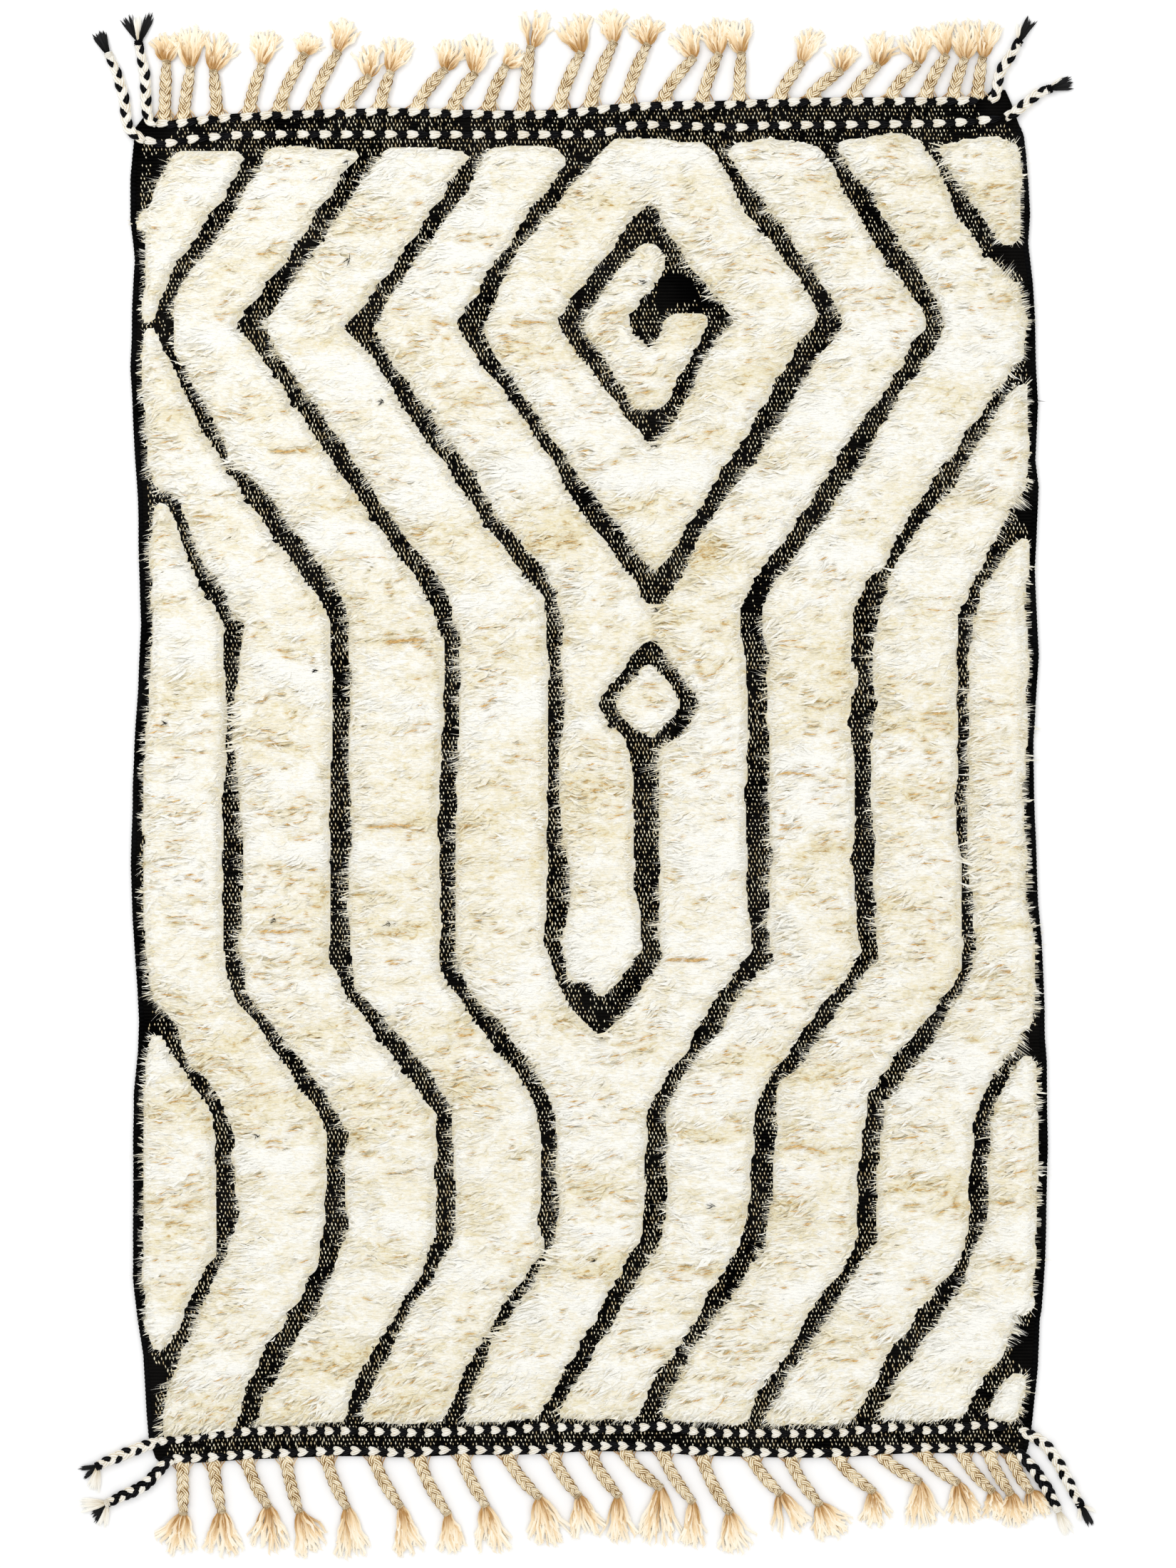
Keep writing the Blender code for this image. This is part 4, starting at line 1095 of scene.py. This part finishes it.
    def wisps(self, tries: int, girth: tuple[float, float], seed: int) -> Planting:
        """Return where wisps hang over the rims, most of them where the wool leans out.

        Args:
            tries: How many places on the cloth are tried.
            girth: The least and the most girth, against the usual.
            seed: The seed of this lot.

        Returns:
            The wisps.
        """
        face, rng = self.face, np.random.default_rng(SEED + seed)
        x, y = face.anywhere(rng, tries)
        soft, edge = face.masks(x, y)
        in_x, in_y, _ = face.inward(face.soft, x, y)
        falls = np.maximum(-in_x * self.lean[0] - in_y * self.lean[1],
                           1.3 * share(1.6 * in_y - 0.8) * np.clip(-8.0 * y - 7.4, 0.5, 1.0))
        side = (x > self.right_side) & (in_x < -0.6)
        falls = np.where(side, 0.8, falls)
        chance = np.clip(1.3 * falls + 0.2, 0.2, 1.0)
        keep = (edge > 0.5) & (soft > 0.35) & (soft < 0.88) & (rng.uniform(0.0, 1.0, tries) < chance)
        x, y, falls, in_x, in_y, side = (part[keep] for part in (x, y, falls, in_x, in_y, side))
        falls, count = np.clip(falls, 0.0, 1.3), x.size
        gather = ripple(41, x, y, 7.0 * MM) + 0.8 * ripple(42, x, y, 21.0 * MM)
        go_x, go_y = self.flow(x, y, 0.30 * ripple(43, x, y, 9.0 * MM) + rng.normal(0.0, 0.32, count))
        turn = np.where(side, 0.9, 0.25 + 0.5 * (1.0 - falls))
        go_x, go_y = go_x * (1.0 - turn) - in_x * turn, go_y * (1.0 - turn) - in_y * turn
        top = np.maximum(face.sample(face.crown, x, y) - 3.5 * MM, self.ground)
        z = self.ground + (top - self.ground) * rng.uniform(0.15, 1.0, count)
        reach = rng.uniform(0.6, 1.15, count) * (0.30 + 0.45 * falls) * np.clip(1.0 + 0.8 * gather, 0.2, 2.2)
        reach = np.where(side, 1.1 * reach, reach)
        pitch = np.arctan2(z - self.ground, reach * self.wisp_length) * rng.uniform(0.5, 1.0, count)
        size = (reach, rng.uniform(*girth, count) * np.where(side, 1.5, 1.0),
                rng.uniform(0.5, 0.9, count) * girth[1])
        return Planting((x, y, z), np.arctan2(go_y, go_x), size, pitch, rng.uniform(-3.0, 3.0, count),
                        rng.integers(0, len(Bend), count), rng.normal(-0.1, 0.3, count))

    def shade_lines(self, tries: int = 420000) -> Planting:
        """Return where thin strands of painted shade lie in the depth of the partings, from so many places
        tried.
        """
        rng = np.random.default_rng(SEED + 45)
        x, y = self.face.anywhere(rng, tries)
        keep = (self.face.masks(x, y)[0] > 0.9) & (self.crease(x, y) > 0.91)
        x, y = x[keep], y[keep]
        count = x.size
        go_x, go_y = self.flow(x, y, rng.normal(0.0, 0.10, count))
        x, y = x - 5.0 * MM * go_x, y - 5.0 * MM * go_y
        size = tuple(rng.uniform(least, most, count) for least, most in ((0.5, 1.2), (0.4, 1.3), (0.2, 0.4)))
        return Planting((x, y, self.level(x, y) + self.wave(x, y) + 2.4 * MM), np.arctan2(go_y, go_x), size,
                        kind=rng.integers(0, len(Bend), count), tint=rng.normal(0.0, 0.5, count))

    def specks(self) -> Planting:
        """Return where short dark fibres lie on the wool, and one loose thread at the right edge."""
        rng = np.random.default_rng(SEED + 51)
        x, y = np.repeat(np.array(self.dark), self.fibres, axis=0).T
        count = x.size
        x, y = x + rng.normal(0.0, 2.2 * MM, count), y + rng.normal(0.0, 1.3 * MM, count)
        z = self.face.sample(self.face.crown, x, y) - 1.2 * MM
        found = np.stack([x, y, z, rng.normal(math.pi, 0.5, count), rng.uniform(0.6, 1.4, count)], axis=1)
        x, y, z, yaw, length = np.vstack([found, self.thread]).T
        return Planting((x, y, z), yaw, (length, 1.0, 1.0), kind=np.arange(count + 1) % len(Bend))

    def build(self, planter: Planter, parts: int = 3) -> list[Piece]:
        """Return the bed, the locks in parts from bottom to top, the wisps, the strands of painted shade in
        the partings and the specks.
        """
        locks, wool, plant = self.locks(), SHAG.material(), planter.plant
        y = locks.places[1]
        limits = np.quantile(y, np.linspace(0.0, 1.0, parts + 1))
        limits[-1] += 1.0
        lock, long, thin = Strand((0.0, 0.42), (0.2, 0.5), 3, 5.0), self.wisp_length, self.wisp_girth
        return [self.bed(),
                *(plant(f"shag_locks_{number + 1}", locks, lock, wool, self.length, self.girth,
                        (y >= limits[number]) & (y < limits[number + 1])) for number in range(parts)),
                plant("rim_locks", self.wisps(62000, (1.2, 2.8), 44), Strand(), wool, long, thin),
                plant("rim_wisps", self.wisps(215000, (0.5, 1.15), 40), Strand((0.0,), (0.5,)), wool,
                      1.15 * long, thin),
                # Thin strands of painted shade along the partings.
                plant("shag_partings", self.shade_lines(), Strand((0.0, 0.5), (0.1, 0.5)), PARTING_SHADE.material(),
                      *self.shade_line_size),
                plant("dark_fibres", self.specks(), Strand(), BLACK_LOCK.material(), *self.fibre_size)]


# The twined cords and their tails

@dataclass(frozen=True)
class Row:
    """One twined cord across an end of the rug, in millimetres."""

    name: str
    points: Points
    left_tail: Points
    right_tail: Points
    pitch: float
    white: float
    black: float
    slant: float
    spread: float = 3.9
    closing: float = 0.85


ROWS = (
    Row("top_outer",
        ((-726, 1111), (-702, 1108), (-648, 1115), (-600, 1119), (-510, 1124), (-330, 1129), (-222, 1126),
         (-96, 1124), (-20, 1128), (30, 1134), (126, 1140), (210, 1140), (282, 1143), (390, 1146),
         (606, 1147), (678, 1148)),
        ((-738, 1117), (-743, 1142), (-745, 1188), (-751, 1222), (-756, 1246)),
        ((686, 1160), (690, 1186), (696, 1202), (709, 1222), (724, 1248)), 35.5, 26.0, 20.0, 0.20),
    Row("top_inner",
        ((-746, 1083), (-720, 1077), (-686, 1080), (-640, 1087), (-504, 1092), (-32, 1092), (40, 1101),
         (76, 1107), (114, 1108), (250, 1104), (300, 1107), (416, 1108), (594, 1111), (666, 1116),
         (702, 1122)),
        ((-757, 1089), (-774, 1106), (-780, 1150), (-792, 1194), (-806, 1226)),
        ((714, 1127), (738, 1146), (756, 1161), (776, 1169)), 37.0, 24.0, 22.0, 0.06),
    Row("bottom_inner",
        ((-722, -1106), (-570, -1089), (-406, -1088), (-272, -1091), (-174, -1086), (-126, -1089),
         (-76, -1081), (42, -1086), (114, -1080), (162, -1086), (210, -1091), (402, -1092), (474, -1084),
         (528, -1082), (576, -1087), (666, -1078), (726, -1089)),
        ((-732, -1109), (-760, -1119), (-784, -1129), (-806, -1138), (-824, -1147)),
        ((738, -1092), (764, -1107), (782, -1128), (798, -1154), (812, -1182), (828, -1212)),
        28.0, 19.0, 19.0, 0.0, 4.4, 1.1),
    Row("bottom_outer",
        ((-698, -1135), (-630, -1132), (-582, -1128), (-402, -1121), (-300, -1125), (-246, -1120),
         (-96, -1120), (-18, -1114), (114, -1114), (174, -1121), (354, -1125), (426, -1124), (558, -1116),
         (630, -1118), (672, -1114), (722, -1121)),
        ((-710, -1141), (-728, -1162), (-750, -1182), (-784, -1198), (-808, -1210)),
        ((730, -1130), (746, -1148), (764, -1172), (778, -1196), (790, -1220)),
        30.0, 22.0, 22.0, 0.0, 5.2, 1.25),
)


@dataclass(frozen=True)
class Spray:
    """Part of the tuft at a tail's end."""

    black: bool
    turn: float
    spread: float
    length: float
    count: int
    girth: float = 4.4


TUFTS = {
    ("top_outer", "left"): (Spray(True, 20.0, 8.0, 50.0, 9), Spray(True, 6.0, 5.0, 56.0, 5),
                            Spray(True, -34.0, 8.0, 58.0, 10), Spray(False, -8.0, 7.0, 50.0, 8)),
    ("top_outer", "right"): (Spray(True, 0.0, 12.0, 48.0, 20), Spray(False, 24.0, 10.0, 34.0, 6)),
    ("top_inner", "left"): (Spray(True, 0.0, 17.0, 46.0, 24, 5.6), Spray(False, 0.0, 25.0, 42.0, 14, 2.0)),
    ("top_inner", "right"): (Spray(True, -4.0, 19.0, 42.0, 26, 4.6), Spray(False, 26.0, 12.0, 34.0, 9, 3.0)),
    ("bottom_inner", "left"): (Spray(True, -18.0, 6.0, 36.0, 6), Spray(True, 14.0, 6.0, 34.0, 6),
                               Spray(False, 50.0, 19.0, 46.0, 16)),
    ("bottom_inner", "right"): (Spray(True, 0.0, 11.0, 42.0, 20, 4.8), Spray(False, -34.0, 9.0, 32.0, 7, 3.0),
                                Spray(False, 36.0, 8.0, 34.0, 6, 3.0)),
    ("bottom_outer", "left"): (Spray(False, -24.0, 20.0, 50.0, 20), Spray(True, 12.0, 6.0, 36.0, 6),
                               Spray(True, 28.0, 6.0, 42.0, 6), Spray(False, 48.0, 13.0, 42.0, 14)),
    ("bottom_outer", "right"): (Spray(False, 0.0, 16.0, 50.0, 26),),
}


@dataclass
class Braid:
    """Three strands plaited along a path."""

    half_width: float
    pitch: float
    strand: tuple[float, float]
    rise: float
    step: float = 3.0 * MM
    sides: int = 6

    def plait(self, shells: Sequence[Shell], path: Array, taper: tuple[float, float], phase: float) -> None:
        """Plait three strands, each into the shell that is given for it.

        Args:
            shells: The three shells, which may be the same one.
            path: The braid's centre line.
            taper: Its width at its start and its end, against the usual.
            phase: Where in its pattern it starts, in radians.
        """
        run, side = run_along(path), directions(path)[1]
        size = np.interp(run / run[-1], [0.0, 0.25, 0.7, 1.0], [taper[0], 1.0, 1.0, taper[1]])[:, None]
        sway = self.half_width - self.strand[0]
        for number, shell in enumerate(shells):
            angle = (2.0 * math.pi * run / self.pitch + 2.0 * math.pi * number / 3.0 + phase)[:, None]
            line = path + side * (np.sin(angle) * sway * size)
            line[:, 2:] += np.sin(2.0 * angle) * self.rise
            tube(shell, line, self.strand[0] * size[:, 0], self.strand[1] * size[:, 0] ** 0.5, self.sides)


def coil(shell: Shell, centre: Array, heading: Array, radii: tuple[float, float], turns: float, gauge: float,
         sides: int = 5) -> None:
    """Add yarn wound round a braid.

    Args:
        shell: What it is added to.
        centre: The middle of the winding.
        heading: The level direction of the braid there, as a unit vector.
        radii: The winding's half width and half height.
        turns: How often it goes round.
        gauge: The yarn's radius.
        sides: How many sides the yarn has.
    """
    angle = np.linspace(0.0, 2.0 * math.pi * turns, max(7, int(9 * turns)))[:, None]
    side, ahead, up = np.array([[heading[1], -heading[0], 0.0], [*heading, 0.0], [0.0, 0.0, 1.0]])
    drift = np.linspace(-0.5, 0.5, len(angle))[:, None] * turns * 1.7 * gauge
    outward = side * np.cos(angle) + up * np.sin(angle)
    line = centre + ahead * drift + side * (np.cos(angle) * radii[0]) + up * (np.sin(angle) * radii[1])
    cross = np.cross(unit(np.gradient(line, axis=0)), outward)
    around = 2.0 * math.pi * np.arange(sides) / sides
    shell.hose([line + gauge * (outward * math.cos(turn) + cross * math.sin(turn)) for turn in around],
               np.cos(around), np.arange(len(line)) * 2.0 * MM, False)


@dataclass
class Cords:
    """The twined rows of white and black stitches, the plaited tails and their tufts."""

    cloth: float = 4.4 * MM
    girth: float = 8.6 * MM
    squash: float = 0.78
    knot: tuple[float, float] = (6.6 * MM, 4.2 * MM)

    def stitches(self, planter: Planter) -> list[Piece]:
        """Return the white and the black stitches of all the rows."""
        rng = np.random.default_rng(SEED + 50)
        found: dict[bool, list[tuple[float, ...]]] = {True: [], False: []}
        for row in ROWS:
            path = smooth_path(np.array(row.points) * MM, 1.0 * MM)
            heading = np.gradient(path, axis=0)
            yaw = np.unwrap(np.arctan2(heading[:, 1], heading[:, 0]))
            for number in range(int((len(path) - 1) * MM / (row.pitch * MM))):
                for black, size, shift in ((False, row.white, 0.0), (True, row.black, row.pitch / 2.0)):
                    at = (number * row.pitch + shift + rng.uniform(-1.3, 1.3)) * MM
                    index = min(int(at / (1.0 * MM)), len(path) - 1)
                    way = yaw[index] + row.slant * (0.6 if black else 1.0)
                    length = size * rng.uniform(0.93, 1.07) * MM
                    for lobe in (-1.0, 1.0):
                        aside = row.spread * MM * lobe
                        start = path[index] + aside * np.array([-math.sin(way), math.cos(way)])
                        found[black].append((*start, self.cloth + (2.9 if black else 3.4) * MM,
                                             way - aside * row.closing / length, length,
                                             rng.uniform(0.92, 1.1), rng.uniform(-1.0, 1.0)))
        pieces = []
        bead = Strand((0.0, 0.10, 0.36, 0.7), (0.16, 0.40, 0.5, 0.36), 8, 0.0)
        for black, name, finish in ((False, "twine_white", WHITE_YARN), (True, "twine_black", BLACK_YARN)):
            x, y, z, yaw, length, girth, tint = np.array(found[black]).T
            size = (length, girth * (0.95 if black else 1.0), girth * self.squash)
            planting = Planting((x, y, z), yaw, size, 0.02, tint=tint)
            pieces.append(planter.plant(name, planting, bead, finish.material(), 1.0, self.girth))
        return pieces

    def tails(self, planter: Planter) -> list[Piece]:
        """Return the plaited tails and the tufts at their ends."""
        rng = np.random.default_rng(SEED + 60)
        white, black = Shell(), Shell()
        sprays: dict[bool, list[tuple[float, ...]]] = {True: [], False: []}
        for row in ROWS:
            half_width, pitch = (10.0, 44.0) if row.name.startswith("top") else (10.8, 36.0)
            braid = Braid(half_width * MM, pitch * MM, (5.5 * MM, 3.2 * MM), 2.0 * MM, 2.5 * MM, 8)
            for side, flat, start in (("left", row.left_tail, 0), ("right", row.right_tail, -1)):
                route = smooth_path(np.array([row.points[start], *flat]) * MM, braid.step)
                run = np.linspace(0.0, len(route) * 2.5, len(route))
                path = np.column_stack([route, np.interp(run, [0.0, 14.0, 42.0], [8.6, 8.2, 5.6]) * MM])
                third = black if row.name == "bottom_outer" else white
                braid.plait((white, black, third), path, (0.85, 0.75), rng.uniform(0.0, 6.0))
                heading = unit(route[-1] - route[-3])
                tuft = TUFTS[row.name, side]
                wrap = black if tuft[0].black and (row.name, side) != ("top_inner", "left") else white
                coil(wrap, path[-1], heading, self.knot, 2.4, 1.7 * MM)
                way = math.atan2(heading[1], heading[0])
                for spray in tuft:
                    turns = way + np.radians(spray.turn + rng.uniform(-1.0, 1.0, spray.count) * spray.spread)
                    for turn in turns:
                        z = rng.uniform(2.6, 7.4)
                        length = spray.length * rng.uniform(0.8, 1.05)
                        root_x, root_y = (place / MM + rng.uniform(-1.5, 1.5) for place in route[-1])
                        sprays[spray.black].append((root_x, root_y, z, turn, math.atan2(z - 2.0, length),
                                                    length, spray.girth * rng.uniform(0.8, 1.2)))
        pieces = [white.build("tails_white", WHITE_YARN.material()),
                  black.build("tails_black", BLACK_YARN.material())]
        strand = Strand((0.0, 0.35, 0.75), (0.3, 0.5, 0.42), 4, 1.6)
        for is_black, name, finish in ((True, "tufts_black", BLACK_LOCK), (False, "tufts_white", WHITE_LOCK)):
            x, y, z, yaw, pitch, length, girth = np.array(sprays[is_black]).T
            size = (length * MM, girth * MM, girth * 0.7 * MM)
            planting = Planting((x * MM, y * MM, z * MM), yaw, size, pitch, rng.uniform(-0.4, 0.4, x.size),
                                rng.integers(0, len(Bend), x.size), rng.uniform(-1.0, 1.0, x.size))
            pieces.append(planter.plant(name, planting, strand, finish.material()))
        return pieces

    def build(self, planter: Planter) -> list[Piece]:
        """Return the stitches, the tails and the tufts."""
        return self.stitches(planter) + self.tails(planter)


# The fringes

TOP_BRAIDS = (
    (-712, -709, 1216, -703, 1262), (-680, -668, 1206, -672, 1274), (-624, -630, 1200, -606, 1258),
    (-570, -548, 1210, -536, 1266), (-520, -476, 1228, -462, 1262), (-466, -420, 1232, -400, 1284),
    (-408, -368, 1190, -358, 1240), (-350, -332, 1198, -306, 1250), (-288, -240, 1202, -230, 1252),
    (-228, -190, 1196, -178, 1258), (-168, -138, 1208, -116, 1240), (-108, -96, 1240, -92, 1306),
    (-48, -12, 1230, -34, 1292), (4, 44, 1248, 48, 1302), (64, 100, 1244, 98, 1292),
    (126, 178, 1222, 158, 1274), (192, 220, 1228, 214, 1288), (254, 258, 1230, 252, 1288),
    (322, 360, 1214, 380, 1270), (374, 426, 1200, 442, 1240), (444, 488, 1210, 506, 1262),
    (510, 555, 1212, 552, 1272), (568, 603, 1226, 604, 1280), (614, 634, 1220, 634, 1284),
    (655, 664, 1222, 668, 1284),
)
BOTTOM_BRAIDS = (
    (-682, -681, -1228, -700, -1294), (-630, -616, -1225, -615, -1300), (-574, -538, -1216, -536, -1292),
    (-508, -486, -1224, -472, -1296), (-440, -406, -1217, -400, -1304), (-360, -316, -1216, -306, -1298),
    (-284, -236, -1228, -226, -1292), (-212, -172, -1214, -150, -1292), (-136, -82, -1200, -64, -1280),
    (-60, -16, -1198, -2, -1268), (4, 52, -1198, 64, -1276), (62, 122, -1184, 122, -1278),
    (126, 176, -1208, 184, -1282), (192, 239, -1226, 256, -1292), (276, 324, -1194, 342, -1262),
    (340, 390, -1212, 420, -1268), (420, 480, -1190, 496, -1246), (494, 558, -1174, 566, -1250),
    (564, 622, -1176, 636, -1244), (630, 680, -1190, 686, -1236), (674, 711, -1194, 722, -1248),
    (711, 744, -1190, 755, -1240),
)


@dataclass
class Fringe:
    """Gathered warps, plaited, knotted and left to fan out, along one end of the rug."""

    name: str
    row: Row
    braids: Points
    end: float
    seed: int
    braid: Braid = field(default_factory=lambda: Braid(11.4 * MM, 38.0 * MM, (5.3 * MM, 3.2 * MM), 2.5 * MM))
    strands: int = 42
    fan: float = 27.125
    lobes: int = 7
    knot: tuple[float, float] = (6.4 * MM, 4.3 * MM)
    gathered: int = 8
    gathering: float = 19.0

    def build(self, planter: Planter) -> list[Piece]:
        """Return the braids with their knots, and the loose ends."""
        rng = np.random.default_rng(SEED + self.seed)
        shell = Shell()
        loose: list[tuple[float, ...]] = []
        row_x, row_y = np.array(self.row.points).T
        for first_x, knot_x, knot_y, tip_x, tip_y in self.braids:
            start = np.array([first_x, np.interp(first_x, row_x, row_y) + self.end * 7.0])
            tip, bend = np.array([tip_x, tip_y]), np.array([knot_x, knot_y])
            run, part = bend - start, np.linspace(0.0, 1.0, 26)
            line = start + np.column_stack([run[0] * part ** 1.3, run[1] * part ** 0.9])
            height = np.interp(part, [0.0, 0.12, 0.9, 1.0], [4.6, 5.9, 5.9, 5.4])
            path = smooth_path(np.column_stack([line, height]) * MM, self.braid.step)
            self.braid.plait((shell, shell, shell), path, (1.2, 0.66), rng.uniform(0.0, 6.0))
            heading, knot = unit(path[-1][:2] - path[-3][:2]), path[-1]
            coil(shell, knot - np.array([*heading, 0.0]) * MM, heading, self.knot, 1.6, 1.6 * MM)
            brush = tip - bend
            length, way = float(np.linalg.norm(brush)), math.atan2(brush[1], brush[0])
            lobes = np.sort(rng.uniform(-1.0, 1.0, self.lobes))
            for _ in range(self.strands):
                lane = float(np.clip(lobes[rng.integers(0, self.lobes)] + rng.normal(0.0, 0.16), -1.15, 1.15))
                z = rng.uniform(2.6, 7.6)
                size = length * rng.uniform(0.72, 1.14) * (1.0 - 0.12 * abs(lane))
                turn = way - lane * self.fan / length + rng.normal(0.0, 0.10)
                kind = float(rng.integers(0, 4))
                root_x = knot[0] / MM + lane * 5.0 * math.sin(way)
                root_y = knot[1] / MM - lane * 5.0 * math.cos(way)
                loose.append((root_x, root_y, z, turn, math.atan2(z - 2.4, size), size,
                              rng.uniform(3.4, 7.4), kind))
            for lane in np.linspace(-1.0, 1.0, self.gathered):
                from_x = start[0] + lane * self.gathering
                from_y = np.interp(from_x, row_x, row_y) + self.end * 8.5
                aim = line[7] - np.array([from_x, from_y])
                loose.append((from_x, from_y, 4.3, math.atan2(aim[1], aim[0]) + rng.normal(0.0, 0.05), -0.04,
                              float(np.linalg.norm(aim)) * 1.15, rng.uniform(2.2, 3.4), 3.0))
        x, y, z, yaw, pitch, length, girth, kind = np.array(loose).T
        size = (length * MM, girth * MM, np.minimum(girth * 0.8, 3.6) * MM)
        planting = Planting((x * MM, y * MM, z * MM), yaw, size, pitch, rng.uniform(-0.3, 0.3, x.size), kind,
                            rng.uniform(-1.0, 1.0, x.size))
        strand = Strand((0.0, 0.2, 0.4, 0.6, 0.78, 0.94), (0.3, 0.4, 0.46, 0.5, 0.5, 0.4), 3, 4.0, 0.85)
        return [shell.build(self.name + "_braids", WARP_YARN.material()),
                planter.plant(self.name + "_brushes", planting, strand, BRUSH.material())]


# Studio

@dataclass
class Studio:
    """The floor, the light and the camera straight above the rug."""

    lens: float = 85.0
    sensor: float = 36.0
    floor_size: float = 30.0
    floor_level: float = -0.5 * MM
    sky: float = 0.98

    def build(self) -> None:
        """Make the floor, the lights and the camera."""
        half, low = self.floor_size / 2.0, self.floor_level
        corners = [(-half, -half, low), (half, -half, low), (half, half, low), (-half, half, low)]
        make("floor", corners, [(0, 1, 2, 3)], FloorFinish().material(), False)
        scene, world = bpy.context.scene, bpy.data.worlds.new("studio")
        world.use_nodes = True
        world.node_tree.nodes["Background"].inputs["Color"].default_value = (1.0, 1.0, 1.0, 1.0)
        world.node_tree.nodes["Background"].inputs["Strength"].default_value = self.sky
        scene.world = world
        scene.view_settings.view_transform = "Standard"
        self._lamp("key", (-2.4, 2.6, 3.4), 2.0, 42.0)
        self._lamp("fill", (2.6, -1.6, 4.2), 3.0, 15.0)
        camera = bpy.data.cameras.new("camera")
        camera.sensor_fit = "VERTICAL"
        camera.sensor_height = camera.sensor_width = self.sensor
        camera.lens = self.lens
        scene.camera = linked("camera", camera)
        scene.camera.location = (0.0, 0.0, PHOTO_HEIGHT * self.lens / self.sensor)

    @staticmethod
    def _lamp(name: str, place: Triple, size: float, power: float) -> None:
        """Hang a soft square lamp that faces the middle of the rug."""
        light = bpy.data.lights.new(name, "AREA")
        light.size, light.energy = size, power
        item = linked(name, light)
        item.location = place
        item.rotation_euler = (-Vector(place)).to_track_quat("-Z", "Y").to_euler()


def report(pieces: Sequence[Piece]) -> None:
    """Log each piece's name and how many triangles it has."""
    for piece in pieces:
        count = sum(len(face.vertices) - 2 for face in piece.data.polygons)
        LOG.info("%s: %d triangles", piece.name, count)


def main() -> None:
    """Dress the rug."""
    logging.basicConfig(level=logging.INFO, format="%(message)s")
    face = RugFace()
    LOG.info("cloth area %.3f m2", face.area())
    planter = Planter()
    ground = GroundCloth(face)
    cloth = ground.build()
    pieces = [ground.floats(planter)]
    pieces += Selvedges(face).build()
    pieces += Shag(face).build(planter)
    cords = Cords().build(planter)
    top = Fringe("fringe_top", ROWS[0], TOP_BRAIDS, 1.0, 70).build(planter)
    bottom = Fringe("fringe_bottom", ROWS[3], BOTTOM_BRAIDS, -1.0, 71).build(planter)
    pieces += [*cords, *top, *bottom]
    report([cloth, *pieces])
    for piece in [cloth, *pieces]:
        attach(piece, BODY)
    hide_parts("rug")
    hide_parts(*("cord_" + row.name for row in ROWS))
    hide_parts("fringe_top")
    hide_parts("fringe_bottom")
    Studio().build()


if __name__ == "__main__":
    main()
